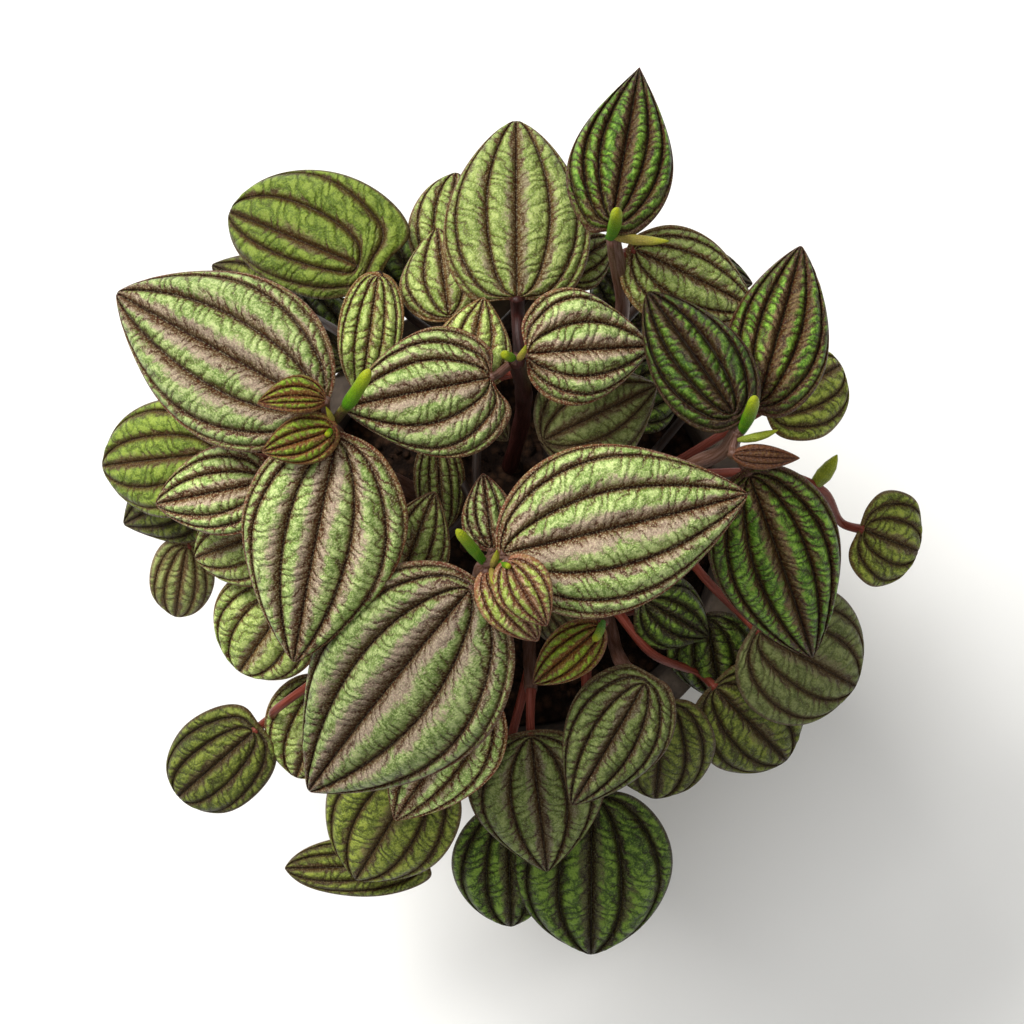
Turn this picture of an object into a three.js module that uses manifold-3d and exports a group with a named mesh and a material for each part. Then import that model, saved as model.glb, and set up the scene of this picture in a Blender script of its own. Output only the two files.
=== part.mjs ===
// A potted peperomia: a clay pot filled with soil, and leafy stems that stand in holes in the soil.
// Millimetres, +Z up. The origin is the middle of the pot's flat base.

import * as THREE from "three";
import { mergeVertices } from "three/addons/utils/BufferGeometryUtils.js";
import Module from "manifold-3d";

const wasm = await Module();
wasm.setup();

// ---- Driving dimensions ----

const pot = {
  height: 105,
  baseRadius: 42,
  rimRadius: 61,
  wall: 4.6,
  floor: 7,
  collarHeight: 24,
  collarStep: 3.2,
  edgeBevel: 1.4,
  drainRadius: 5,
  sides: 36,
};

// The soil clears the pot's side by more than its floor, as the two have different facets.
const soil = {
  clearance: 0.3,
  sideClearance: 0.42,
  edgeHeight: 95,
  crownHeight: 98,
  rings: [0.95, 0.65, 0.35],
  ripple: { height: 0.7, acrossRate: 0.31, downRate: 0.37, downStart: 1 },
  sides: 24,
  holeDepth: 18,
  holeClearance: 1.1,
  holeSides: 8,
};

// What every leaf has, unless its own entry in the table says otherwise.
const blade = {
  thickness: 1,
  rib: 0.032,
  arch: 0.06,
  droop: 0.12,
  full: 0.8,
  pointed: 1.35,
  lobe: 6,
  notch: 0.3,
  notchWidth: 0.09,
};

const stemBar = { sides: 6, step: 14 };

// A petiole ends with a run of at most reach, and reachShare of the way, that mostly rises.
const petiole = { sides: 4, step: 14, radius: 1.1, reach: 6, reachShare: 0.4, rise: 0.8, outward: 0.6 };

// A spike's outline from foot to end, in shares of its radius and length.
const spikeShape = {
  sides: 6,
  outline: [[0, 0], [0.75, 0], [1, 0.45], [0.9, 0.85], [0.5, 0.97], [0, 1]],
};

const weldDistance = 1e-4;

// The plan is how the plant looks from straight above, 1024 units wide, seen from eyeHeight.
// A place in it is [across, down, height], with the height in millimetres.
const plan = { middle: 512, eyeHeight: 1035, focal: 3617, shiftX: -0.8, shiftY: 4.4 };

// Columns run from the midrib to one margin. Veins lie every veinSpacing of the half width.
const detail = {
  fine: { columns: [0.18, 0.36, 0.54, 0.72, 1], veinSpacing: 0.36, rows: 5 },
  plain: { columns: [0.25, 0.5, 1], veinSpacing: 0.5, rows: 4 },
  small: { columns: [0.5, 1], veinSpacing: 1, rows: 3 },
};

// ---- The plant, stem by stem ----
// A leaf has its attachment (base), its tip and its full width in the plan. roll turns its left side
// up, in degrees. arch and droop bend it along and across. lobe is how far it reaches behind its
// base, and notch is how much of that the middle lacks. round blunts the tip, a larger full narrows
// both ends, and skew widens the left half. at is the place along the stem where its petiole
// leaves, from 0 at the soil to 1, via is where the petiole passes, and stalk is its radius.

const leafyStems = [
  {
    name: "stem_left",
    route: [[446, 505, 97], [392, 480, 130], [348, 448, 158], [328, 427, 178]],
    radius: 2.2,
    leaves: [
      {
        name: "A1", base: [318, 405, 174], tip: [117, 293, 152], width: 175, size: "fine",
        roll: -3, lobe: 12, full: 0.74,
      },
      {
        name: "A2", base: [337, 440, 175], tip: [294, 662, 156], width: 168, size: "fine",
        roll: 3, skew: 0.05, lobe: 13,
      },
      {
        name: "A3", base: [325, 400, 181], tip: [257, 404, 182], width: 42, size: "small",
        roll: 20, skew: -0.2, arch: 0.2, lobe: 3,
      },
      {
        name: "A4", base: [333, 430, 180], tip: [262, 452, 177], width: 52, size: "small",
        roll: -6, arch: 0.14, lobe: 8,
      },
    ],
    spikes: [{ base: [335, 420, 177], tip: [369, 370, 190], radius: 1.7 }],
  },
  {
    name: "stem_middle",
    route: [[510, 466, 97], [522, 420, 125], [523, 385, 150], [516, 360, 170]],
    radius: 2.1,
    leaves: [
      {
        name: "B1", base: [490, 378, 166], tip: [342, 408, 165], width: 134, size: "fine",
        roll: 2, skew: 0.08, lobe: 24, notch: 0.85,
      },
      {
        name: "B2", base: [527, 354, 168], tip: [651, 347, 158], width: 120, size: "fine",
        roll: -3, skew: 0.08, lobe: 10, notch: 0.85,
      },
      {
        name: "B3", base: [517, 297, 150], tip: [516, 121, 136], width: 148, size: "fine",
        lobe: 18, notch: 0.85, at: 0.7, stalk: 1.7, full: 0.62,
      },
      {
        name: "B4", base: [465, 385, 157], tip: [484, 297, 157], width: 82, size: "plain",
        lobe: 8, at: 0.85,
      },
    ],
    spikes: [{ base: [514, 358, 169], tip: [502, 353, 174], radius: 1.2 }],
  },
  {
    name: "stem_back",
    route: [[560, 450, 97], [600, 375, 125], [622, 312, 150], [613, 237, 180]],
    radius: 1.9,
    leaves: [
      {
        name: "C1", base: [612, 222, 182], tip: [639.5, 67.5, 166], width: 107, size: "fine",
        skew: 0.02, full: 1.0, lobe: 26, notch: 0.6,
      },
      {
        name: "C2", base: [635, 250, 168], tip: [756, 310, 152], width: 102, size: "fine",
        roll: -4, lobe: 12, at: 0.9, skew: -0.12,
      },
      {
        name: "C3", base: [690, 270, 142], tip: [752, 284, 132], width: 50, size: "small",
        lobe: 8, at: 0.6,
      },
      {
        name: "C4", base: [560, 272, 136], tip: [613, 238, 130], width: 64, size: "small",
        lobe: 8, at: 0.5,
      },
      {
        name: "C5", base: [640, 322, 118], tip: [596, 262, 112], width: 70, size: "small",
        lobe: 8, at: 0.35,
      },
    ],
    spikes: [
      { base: [610, 238, 179], tip: [617, 209, 195], radius: 1.6 },
      { base: [613, 237, 181], tip: [669, 241, 184], radius: 1.3 },
    ],
  },
  {
    name: "stem_right",
    route: [[600, 516, 97], [645, 490, 130], [695, 464, 162], [727, 448, 175], [738, 430, 180]],
    radius: 1.9,
    leaves: [
      {
        name: "D1", base: [733, 413, 182], tip: [647.5, 292, 172], width: 100, size: "fine",
        roll: 4, skew: 0, full: 0.7, lobe: 18,
      },
      {
        name: "D2", base: [758, 402, 171], tip: [801, 246, 156], width: 106, size: "fine",
        roll: 3, lobe: 17, at: 0.96, skew: -0.06,
      },
      {
        name: "D3", base: [749, 476, 163], tip: [812, 657, 132], width: 136, size: "fine",
        roll: -3, lobe: 12, at: 0.93,
      },
      {
        name: "D4", base: [733, 455, 181], tip: [800, 458, 180], width: 26, size: "small",
        roll: 10, arch: 0.1, lobe: 2,
      },
    ],
    spikes: [
      { base: [741, 431, 179], tip: [755, 397, 195], radius: 1.6 },
      { base: [738, 440, 181], tip: [778, 430, 186], radius: 1.1 },
    ],
  },
  {
    name: "stem_front",
    route: [[500, 560, 97], [478, 585, 130], [480, 580, 158], [486, 564, 182]],
    radius: 2.3,
    leaves: [
      {
        name: "E1", base: [505, 553, 177], tip: [748, 494, 171], width: 174, size: "fine",
        roll: 3, lobe: 12,
      },
      {
        name: "E2", base: [470, 590, 173], tip: [309, 791, 140], width: 206, size: "fine",
        roll: 9, skew: 0.05, lobe: 18,
      },
      {
        name: "E3", base: [509, 562, 187], tip: [547, 626, 184], width: 60, size: "small",
        roll: 8, arch: 0.14, lobe: 7,
      },
      {
        name: "E4", base: [487, 573, 182], tip: [538, 641, 176], width: 62, size: "small",
        roll: -8, arch: 0.16, lobe: 7,
      },
      {
        name: "E5", base: [493, 548, 160], tip: [483, 473, 158], width: 56, size: "small",
        lobe: 5, at: 0.8,
      },
    ],
    spikes: [{ base: [483, 561, 182], tip: [457, 530, 192], radius: 1.4 }],
  },
  {
    name: "stem_bud",
    route: [[560, 585, 97], [588, 606, 125], [603, 622, 160]],
    radius: 1.6,
    leaves: [
      {
        name: "F1", base: [600, 627, 160], tip: [533, 684, 152], width: 54, size: "small",
        arch: 0.12, lobe: 5,
      },
      {
        name: "F2", base: [545, 608, 141], tip: [576, 648, 135], width: 42, size: "small",
        lobe: 5, at: 0.6,
      },
    ],
    spikes: [{ base: [603, 620, 159], tip: [594, 640, 167], radius: 1.1 }],
  },
  {
    name: "stem_front_right",
    route: [[603, 596, 97], [618, 655, 122], [640, 680, 156]],
    radius: 1.8,
    leaves: [
      {
        name: "G1", base: [644, 684, 160], tip: [572, 805, 146], width: 106, size: "fine",
        lobe: 20, notch: 0.4,
      },
      {
        name: "G2", base: [664, 704, 128], tip: [655, 798, 114], width: 112, size: "plain",
        round: 0.7, lobe: 8, at: 0.6,
      },
    ],
    spikes: [],
  },
  {
    name: "low_back_left",
    route: [[452, 452, 97], [430, 410, 112], [415, 385, 120]],
    radius: 1.6,
    leaves: [
      {
        name: "L1", base: [357, 265, 130], tip: [230, 212, 118], width: 130, size: "plain",
        round: 0.35, skew: -0.22, lobe: 28, notch: 0.1, full: 0.52,
      },
      {
        name: "H1", base: [347, 361, 107], tip: [299, 290, 98], width: 82, size: "small",
        lobe: 8,
      },
      {
        name: "L26", base: [288, 302, 112], tip: [212, 265, 104], width: 72, size: "small",
        lobe: 8, via: [[345, 336, 122]],
      },
    ],
    spikes: [],
  },
  {
    name: "low_back",
    route: [[486, 434, 97], [476, 390, 108], [470, 355, 116]],
    radius: 1.6,
    leaves: [
      {
        name: "L2", base: [378, 276, 138], tip: [361, 398, 132], width: 66, size: "plain",
        round: 0.4, lobe: 6, via: [[412, 318, 117]],
      },
      {
        name: "L3a", base: [448, 272, 124], tip: [456, 173, 114], width: 88, size: "plain",
        round: 0.5, lobe: 8,
      },
      {
        name: "L3b", base: [449, 316, 133], tip: [437, 228, 125], width: 92, size: "plain",
        lobe: 8,
      },
      {
        name: "L28", base: [425, 292, 106], tip: [376, 222, 98], width: 84, size: "small",
        lobe: 8,
      },
      {
        name: "H2", base: [530, 288, 120], tip: [540, 200, 111], width: 80, size: "small",
        lobe: 8,
      },
    ],
    spikes: [],
  },
  {
    name: "low_left",
    route: [[408, 500, 97], [390, 486, 108], [375, 476, 116]],
    radius: 1.6,
    leaves: [
      {
        name: "L4a", base: [215, 453, 132], tip: [103, 466, 114], width: 120, size: "plain",
        full: 0.7, lobe: 12, round: 0.5,
      },
      {
        name: "L4b", base: [212, 480, 115], tip: [124, 524, 101], width: 96, size: "plain",
        lobe: 10,
      },
      {
        name: "J1", base: [300, 430, 114], tip: [215, 400, 108], width: 90, size: "small",
        lobe: 8,
      },
    ],
    spikes: [],
  },
  {
    name: "low_left_front",
    route: [[424, 552, 97], [395, 538, 112], [360, 520, 132]],
    radius: 1.7,
    leaves: [
      {
        name: "L5a", base: [266, 482, 150], tip: [156, 504, 140], width: 92, size: "plain",
        full: 0.7, lobe: 10,
      },
      {
        name: "L5b", base: [285, 524, 137], tip: [196, 558, 124], width: 98, size: "plain",
        round: 0.4, full: 0.7, lobe: 8,
      },
      {
        name: "L6", base: [187, 547, 105], tip: [176, 616, 92], width: 66, size: "small",
        round: 0.8, lobe: 10, at: 0.4, via: [[275, 548, 116]],
      },
    ],
    spikes: [],
  },
  {
    name: "low_front_left",
    route: [[452, 590, 97], [415, 612, 110], [385, 628, 120]],
    radius: 1.6,
    leaves: [
      {
        name: "L7", base: [293, 595, 124], tip: [240, 671, 110], width: 116, size: "plain",
        round: 0.8, lobe: 14, skew: -0.07,
      },
      {
        name: "L8", base: [253, 732, 101], tip: [179, 796, 90], width: 100, size: "plain",
        round: 1, skew: 0, lobe: 14, via: [[322, 676, 120], [278, 708, 113]],
      },
      {
        name: "L9", base: [331, 686, 106], tip: [296, 777, 98], width: 104, size: "small",
        round: 0.7, lobe: 8, at: 0.5, via: [[360, 680, 110]],
      },
    ],
    spikes: [],
  },
  {
    name: "low_front",
    route: [[490, 612, 97], [474, 655, 112], [468, 672, 122]],
    radius: 1.7,
    leaves: [
      {
        name: "L10", base: [425, 765, 124], tip: [356, 879, 106], width: 138, size: "plain",
        round: 0.5, lobe: 12, skew: -0.07,
      },
      {
        name: "L11", base: [411, 864, 99], tip: [285, 868, 92], width: 62, size: "plain",
        round: 0.6, lobe: 26, at: 0.6, via: [[420, 750, 113]],
      },
      {
        name: "L12", base: [480, 690, 142], tip: [395, 820, 127], width: 116, size: "plain",
        lobe: 8,
      },
    ],
    spikes: [],
  },
  {
    name: "low_front_middle",
    route: [[528, 622, 97], [530, 660, 112], [531, 690, 122]],
    radius: 1.7,
    leaves: [
      {
        name: "L13", base: [531, 737, 130], tip: [547, 871, 112], width: 140, size: "plain",
        lobe: 10,
      },
      {
        name: "L14", base: [508, 812, 101], tip: [511, 926, 88], width: 110, size: "plain",
        round: 0.8, lobe: 8, at: 0.6, via: [[508, 755, 114]], skew: -0.06, full: 1.0,
      },
    ],
    spikes: [],
  },
  {
    name: "low_front_right",
    route: [[562, 604, 97], [578, 640, 108], [586, 668, 116]],
    radius: 1.6,
    leaves: [
      {
        name: "L15", base: [591, 798, 108], tip: [591, 954, 90], width: 160, size: "plain",
        round: 0.5, skew: 0.03, lobe: 10, via: [[587, 740, 116]],
      },
    ],
    spikes: [],
  },
  {
    name: "low_right_front",
    route: [[585, 552, 97], [604, 586, 114], [618, 612, 124]],
    radius: 1.7,
    leaves: [
      {
        name: "L17", base: [716, 688, 114], tip: [786, 760, 100], width: 120, size: "plain",
        round: 0.7, skew: 0.06, lobe: 8, via: [[650, 652, 124]],
      },
      {
        name: "L25", base: [645, 600, 128], tip: [708, 636, 118], width: 76, size: "small",
        lobe: 8,
      },
      {
        name: "L27", base: [706, 618, 117], tip: [722, 702, 105], width: 92, size: "small",
        lobe: 8,
      },
    ],
    spikes: [],
  },
  {
    name: "low_right",
    route: [[602, 478, 97], [630, 476, 112], [654, 476, 126]],
    radius: 1.7,
    leaves: [
      {
        name: "L18", base: [760, 633, 122], tip: [855, 686, 108], width: 146, size: "plain",
        round: 0.8, lobe: 14, via: [[691, 560, 130]],
      },
      {
        name: "L19", base: [864, 530, 108], tip: [917, 551, 99], width: 100, size: "small",
        round: 1, lobe: 8, via: [[780, 474, 130], [822, 490, 123]],
      },
      {
        name: "L20", base: [768, 407, 140], tip: [840, 365, 128], width: 100, size: "plain",
        round: 0.9, lobe: 8, skew: -0.08,
      },
      {
        name: "H3", base: [745, 538, 117], tip: [815, 575, 110], width: 80, size: "small",
        lobe: 8,
      },
      {
        name: "Q1", base: [735, 360, 116], tip: [800, 320, 108], width: 80, size: "small",
        lobe: 8, at: 0.6,
      },
    ],
    spikes: [{ base: [813, 486, 124], tip: [837, 455, 130], radius: 2.1 }],
  },
  {
    name: "low_inner_right",
    route: [[550, 490, 97], [549, 468, 120], [548, 457, 138]],
    radius: 1.6,
    leaves: [
      {
        name: "L22", base: [545, 440, 147], tip: [657, 385, 146], width: 116, size: "plain",
        lobe: 8,
      },
      {
        name: "R1", base: [618, 408, 121], tip: [686, 372, 114], width: 80, size: "small",
        lobe: 8, at: 0.6,
      },
    ],
    spikes: [],
  },
  {
    name: "low_inner_left",
    route: [[466, 546, 97], [470, 525, 118], [475, 508, 136]],
    radius: 1.6,
    leaves: [
      {
        name: "L29", base: [397, 588, 148], tip: [435, 491, 150], width: 78, size: "plain",
        lobe: 6,
      },
      {
        name: "L23", base: [437, 440, 136], tip: [443, 534, 130], width: 52, size: "small",
        round: 0.4, lobe: 5,
      },
      {
        name: "L30", base: [482, 410, 139], tip: [508, 441, 137], width: 36, size: "small",
        lobe: 4,
      },
    ],
    spikes: [],
  },
];

// ---- Helpers ----

// The point in space of a place in the plan.
function place([across, down, height]) {
  const scale = (plan.eyeHeight - height) / plan.focal;
  return new THREE.Vector3(
    (across - plan.middle) * scale + plan.shiftX,
    (plan.middle - down) * scale + plan.shiftY,
    height,
  );
}

// A closed geometry as a solid that can be joined and cut.
function solidOf(geometry) {
  const bare = geometry.index ? geometry.toNonIndexed() : geometry.clone();
  bare.deleteAttribute("normal");
  bare.deleteAttribute("uv");
  const merged = mergeVertices(bare, weldDistance);
  return new wasm.Manifold(
    new wasm.Mesh({
      numProp: 3,
      vertProperties: merged.attributes.position.array,
      triVerts: new Uint32Array(merged.index.array),
    }),
  );
}

function geometryOf(solid) {
  const { vertProperties, triVerts } = solid.getMesh();
  const geometry = new THREE.BufferGeometry();
  geometry.setAttribute("position", new THREE.BufferAttribute(vertProperties, 3));
  geometry.setIndex(new THREE.BufferAttribute(triVerts, 1));
  geometry.computeVertexNormals();
  return geometry;
}

// A round bar along a smooth curve through the points.
function bar(points, radius, sides, step) {
  const route = new THREE.CatmullRomCurve3(points);
  const corners = Array.from({ length: sides }, (_, i) => {
    const turn = (2 * Math.PI * i) / sides;
    return new THREE.Vector2(radius * Math.cos(turn), radius * Math.sin(turn));
  });
  const steps = Math.max(1, Math.round(route.getLength() / step));
  const section = new THREE.Shape(corners);
  return solidOf(new THREE.ExtrudeGeometry(section, { steps, extrudePath: route }));
}

// ---- Leaves ----

// The leaf's own frame: along its axis, to its left side and up, with its real sizes.
function leafFrame(leaf) {
  const base = place(leaf.base);
  const along = place(leaf.tip).sub(base);
  const length = along.length();
  along.normalize();
  const level = new THREE.Vector3(0, 0, 1).cross(along).normalize();
  const up = along.clone().cross(level);
  const roll = THREE.MathUtils.degToRad(leaf.roll ?? 0);
  const left = level.clone().multiplyScalar(Math.cos(roll)).addScaledVector(up, Math.sin(roll));
  const scale = (plan.eyeHeight - leaf.base[2]) / plan.focal;
  return {
    base,
    along,
    left,
    up: along.clone().cross(left),
    length,
    halfWidth: (leaf.width * scale) / 2,
    lobe: (leaf.lobe ?? blade.lobe) * scale,
  };
}

// A point of the blade's middle surface. s runs from behind the base to the tip, and v from the
// right margin, -1, over the midrib to the left margin, 1. The half width is a power of a sine of
// s, and rows bend back into the lobes with the cube of v.
function bladePoint(leaf, frame, s, v) {
  const { veinSpacing } = detail[leaf.size];
  const blunt = (1 - Math.cos(Math.PI * s)) / 2;
  const forward = THREE.MathUtils.lerp(s ** blade.pointed, blunt, leaf.round ?? 0);
  const span = Math.sin(Math.PI * s) ** (leaf.full ?? blade.full);
  const behind = Math.exp(-((s / blade.notchWidth) ** 2));
  const skew = (leaf.skew ?? 0) * Math.sign(v) * (1 - behind);
  const notch = (leaf.notch ?? blade.notch) * behind;
  const back = frame.lobe * (1 + 3 * skew) * Math.abs(v) ** 3 * (1 - notch) * (1 - forward);
  const along = frame.length * forward - back;
  const across = frame.halfWidth * (1 + skew) * v * span;
  const x = along / frame.length;
  const rib = blade.rib * 2 * frame.halfWidth * Math.sin((Math.PI * v) / veinSpacing) ** 2 * span;
  const bow = 4 * (leaf.arch ?? blade.arch) * frame.length * x * (1 - x);
  const sag = (leaf.droop ?? blade.droop) * frame.halfWidth * v * v * span;
  return frame.base
    .clone()
    .addScaledVector(frame.along, along)
    .addScaledVector(frame.left, across)
    .addScaledVector(frame.up, bow + rib - sag);
}

// The blade: two like grids, half a thickness above and below the middle surface, and the margin
// between them. The first row is the seam behind the base, where both sides share their points.
function bladeSolid(leaf) {
  const frame = leafFrame(leaf);
  const { columns, rows } = detail[leaf.size];
  const across = [...columns.map((v) => -v).reverse(), 0, ...columns];
  const last = across.length - 1;
  const positions = [];
  const indices = [];
  const offset = frame.up.clone().multiplyScalar(blade.thickness / 2);
  for (let row = 0; row <= rows; row++) {
    for (const v of across) {
      const point = bladePoint(leaf, frame, row / rows, v);
      positions.push(...point.clone().add(offset).toArray());
      positions.push(...point.sub(offset).toArray());
    }
  }
  const sharedColumn = (row, column) => {
    if (row === 0) return Math.min(column, last - column);
    return row === rows ? 0 : column;
  };
  const at = (row, column, side) => (row * (last + 1) + sharedColumn(row, column)) * 2 + side;
  const face = (a, b, c) => {
    if (a !== b && b !== c && c !== a) indices.push(a, b, c);
  };
  const quad = (a, b, c, d) => {
    face(a, b, c);
    face(a, c, d);
  };
  for (let row = 0; row < rows; row++) {
    for (let column = 0; column < last; column++) {
      const cell = (side) => [
        at(row, column, side),
        at(row, column + 1, side),
        at(row + 1, column + 1, side),
        at(row + 1, column, side),
      ];
      quad(...cell(0).reverse());
      quad(...cell(1));
    }
    const edge = (column) => [
      at(row, column, 0),
      at(row, column, 1),
      at(row + 1, column, 1),
      at(row + 1, column, 0),
    ];
    quad(...edge(0));
    quad(...edge(last).reverse());
  }
  const geometry = new THREE.BufferGeometry();
  geometry.setAttribute("position", new THREE.Float32BufferAttribute(positions, 3));
  geometry.setIndex(indices);
  return solidOf(geometry);
}

// ---- Stems, petioles and spikes ----

// A stem is upright in its hole in the soil, and then follows its route to the crown.
function stemSolid(stem) {
  const points = stem.route.map(place);
  const [root] = points;
  const foot = new THREE.Vector3(root.x, root.y, root.z - soil.holeDepth);
  const upright = bar([foot, root], stem.radius, stemBar.sides, soil.holeDepth);
  return upright.add(bar(points, stem.radius, stemBar.sides, stemBar.step));
}

// A petiole leaves the stem's middle, and comes up under the leaf to end inside its blade.
function petioleSolid(stem, leaf) {
  const frame = leafFrame(leaf);
  const start = new THREE.CatmullRomCurve3(stem.route.map(place)).getPoint(leaf.at ?? 1);
  const outward = frame.base.clone().sub(start).normalize();
  const arrival = frame.up.clone().multiplyScalar(petiole.rise);
  arrival.addScaledVector(outward, petiole.outward).normalize();
  const reach = Math.min(petiole.reach, petiole.reachShare * frame.base.distanceTo(start));
  const under = frame.base.clone().addScaledVector(arrival, -reach);
  const points = [start, ...(leaf.via ?? []).map(place), under, frame.base];
  return bar(points, leaf.stalk ?? petiole.radius, petiole.sides, petiole.step);
}

// A flower spike: a round bar that swells from its foot and closes in a blunt end.
function spikeSolid(spike) {
  const foot = place(spike.base);
  const axis = place(spike.tip).sub(foot);
  const length = axis.length();
  const profile = spikeShape.outline.map(
    ([out, up]) => new THREE.Vector2(out * spike.radius, up * length),
  );
  const geometry = new THREE.LatheGeometry(profile, spikeShape.sides);
  const latheAxis = new THREE.Vector3(0, 1, 0);
  const turn = new THREE.Quaternion().setFromUnitVectors(latheAxis, axis.normalize());
  geometry.applyQuaternion(turn).translate(...foot.toArray());
  return solidOf(geometry);
}

function leafyStemSolid(stem) {
  const pieces = [
    ...stem.leaves.flatMap((leaf) => [bladeSolid(leaf), petioleSolid(stem, leaf)]),
    ...stem.spikes.map(spikeSolid),
  ];
  return pieces.reduce((whole, piece) => whole.add(piece), stemSolid(stem));
}

// ---- Pot and soil ----

// The radius of the pot's inside at a height.
function innerRadius(height) {
  const share = height / pot.height;
  return pot.baseRadius + share * (pot.rimRadius - pot.collarStep - pot.baseRadius) - pot.wall;
}

function potGeometry() {
  const collarFoot = pot.height - pot.collarHeight;
  const bodyTop = innerRadius(collarFoot) + pot.wall;
  const rimInner = innerRadius(pot.height);
  const profile = [
    [pot.drainRadius, 0],
    [pot.baseRadius - pot.edgeBevel, 0],
    [pot.baseRadius, pot.edgeBevel],
    [bodyTop, collarFoot],
    [bodyTop + pot.collarStep - pot.edgeBevel, collarFoot],
    [bodyTop + pot.collarStep, collarFoot + pot.edgeBevel],
    [pot.rimRadius, pot.height - pot.edgeBevel],
    [pot.rimRadius - pot.edgeBevel, pot.height],
    [rimInner + pot.edgeBevel, pot.height],
    [rimInner, pot.height - pot.edgeBevel],
    [innerRadius(pot.floor), pot.floor],
    [pot.drainRadius, pot.floor],
    [pot.drainRadius, 0],
  ].map(([radius, height]) => new THREE.Vector2(radius, height));
  return new THREE.LatheGeometry(profile, pot.sides).rotateX(Math.PI / 2);
}

// The soil fills the pot and rises a little in the middle. Its top is rippled by two sines.
function soilSolid() {
  const bottom = pot.floor + soil.clearance;
  const top = soil.edgeHeight;
  const side = (height) => innerRadius(height) - soil.sideClearance;
  const mound = (share) => top + (soil.crownHeight - top) * (1 - share * share);
  const profile = [
    [0, bottom],
    [side(bottom), bottom],
    [side(top), top],
    ...soil.rings.map((share) => [share * side(top), mound(share)]),
    [0, soil.crownHeight],
  ].map(([radius, height]) => new THREE.Vector2(radius, height));
  const geometry = new THREE.LatheGeometry(profile, soil.sides).rotateX(Math.PI / 2);
  const points = geometry.getAttribute("position");
  const { height, acrossRate, downRate, downStart } = soil.ripple;
  for (let i = 0; i < points.count; i++) {
    if (points.getZ(i) <= top) continue;
    const lift = Math.sin(acrossRate * points.getX(i)) * Math.sin(downRate * points.getY(i) + downStart);
    points.setZ(i, points.getZ(i) + height * lift);
  }
  return leafyStems.reduce((whole, stem) => whole.subtract(holeSolid(stem)), solidOf(geometry));
}

// The plain round hole that a stem stands in.
function holeSolid(stem) {
  const root = place(stem.route[0]);
  const bottom = root.z - soil.holeDepth - soil.clearance;
  const height = pot.height - bottom;
  const hole = new THREE.CylinderGeometry(
    stem.radius + soil.holeClearance,
    stem.radius + soil.holeClearance,
    height,
    soil.holeSides,
  );
  hole.rotateX(Math.PI / 2).translate(root.x, root.y, bottom + height / 2);
  return solidOf(hole);
}

// ---- Assembly ----

const clay = new THREE.MeshStandardMaterial({ color: 0x3c3028, roughness: 0.85, metalness: 0 });
const earth = new THREE.MeshStandardMaterial({ color: 0x2c2019, roughness: 1, metalness: 0 });
const crownGreen = new THREE.MeshStandardMaterial({ color: 0x93ae68, roughness: 0.45, metalness: 0 });
const shadeGreen = new THREE.MeshStandardMaterial({ color: 0x5f7d3f, roughness: 0.5, metalness: 0 });

const plant = new THREE.Group();

function addPiece(name, geometry, material) {
  const mesh = new THREE.Mesh(geometry, material);
  mesh.name = name;
  plant.add(mesh);
}

addPiece("pot", potGeometry(), clay.clone());
addPiece("soil", geometryOf(soilSolid()), earth.clone());
for (const stem of leafyStems) {
  const material = stem.name.startsWith("low") ? shadeGreen : crownGreen;
  addPiece(stem.name, geometryOf(leafyStemSolid(stem)), material.clone());
}

export default plant;
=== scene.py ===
from math import cos, radians, sin

import bpy
import numpy as np
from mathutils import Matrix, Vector


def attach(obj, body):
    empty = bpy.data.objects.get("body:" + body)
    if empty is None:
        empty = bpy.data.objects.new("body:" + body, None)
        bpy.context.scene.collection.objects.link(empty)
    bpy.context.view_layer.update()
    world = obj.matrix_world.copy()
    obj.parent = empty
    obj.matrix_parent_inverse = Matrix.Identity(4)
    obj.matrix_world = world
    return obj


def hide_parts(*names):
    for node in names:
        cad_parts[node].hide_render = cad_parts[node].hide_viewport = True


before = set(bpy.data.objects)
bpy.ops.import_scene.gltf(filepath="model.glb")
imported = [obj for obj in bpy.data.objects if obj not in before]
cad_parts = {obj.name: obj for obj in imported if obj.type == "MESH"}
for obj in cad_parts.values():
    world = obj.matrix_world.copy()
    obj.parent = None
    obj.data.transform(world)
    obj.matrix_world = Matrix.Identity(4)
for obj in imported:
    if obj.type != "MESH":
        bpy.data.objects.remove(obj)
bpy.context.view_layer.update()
scene = bpy.context.scene


# Camera, light and floor.

# The camera looks straight down from eyeHeight. A place in the plan is (across, down, height):
# pixels of a picture 1024 wide, and millimetres above the pot's base.
plan = {"middle": 512, "eyeHeight": 1035, "focal": 3617, "shiftX": -0.8, "shiftY": 4.4}

studio = {
    "sensor": 36,
    "floorSize": 12,
    "floorLines": 9,
    "floorTones": ((240, 240, 238), (250, 250, 249)),
    "world": (1.0, 0.99, 0.96),
    "worldStrength": 0.34,
    "lights": [
        # name, place, target, width, height, watts, colour
        ("windowLight", (-1.0, 1.15, 1.45), (0, 0, 0.12), 0.8, 0.7, 54, (1.0, 0.985, 0.95)),
        ("overheadLight", (-0.2, 0.3, 2.2), (0, 0, 0.1), 1.4, 1.4, 16, (1.0, 1.0, 1.0)),
        ("lowLight", (1.0, -1.1, 0.6), (0, 0, 0.1), 0.9, 0.6, 2, (1.0, 0.99, 0.97)),
    ],
}


def linear(red, green, blue):
    # an sRGB colour of 0 to 255 as the linear one that shaders take
    share = np.array([red, green, blue]) / 255
    return (*np.where(share <= 0.04045, share / 12.92, ((share + 0.055) / 1.055) ** 2.4), 1.0)


def aim(thing, spot, target):
    # the thing's own -Z points from the spot to the target
    way = np.array(target) - np.array(spot)
    thing.location = spot
    thing.rotation_euler = Vector(way).to_track_quat("-Z", "Y").to_euler()


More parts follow.
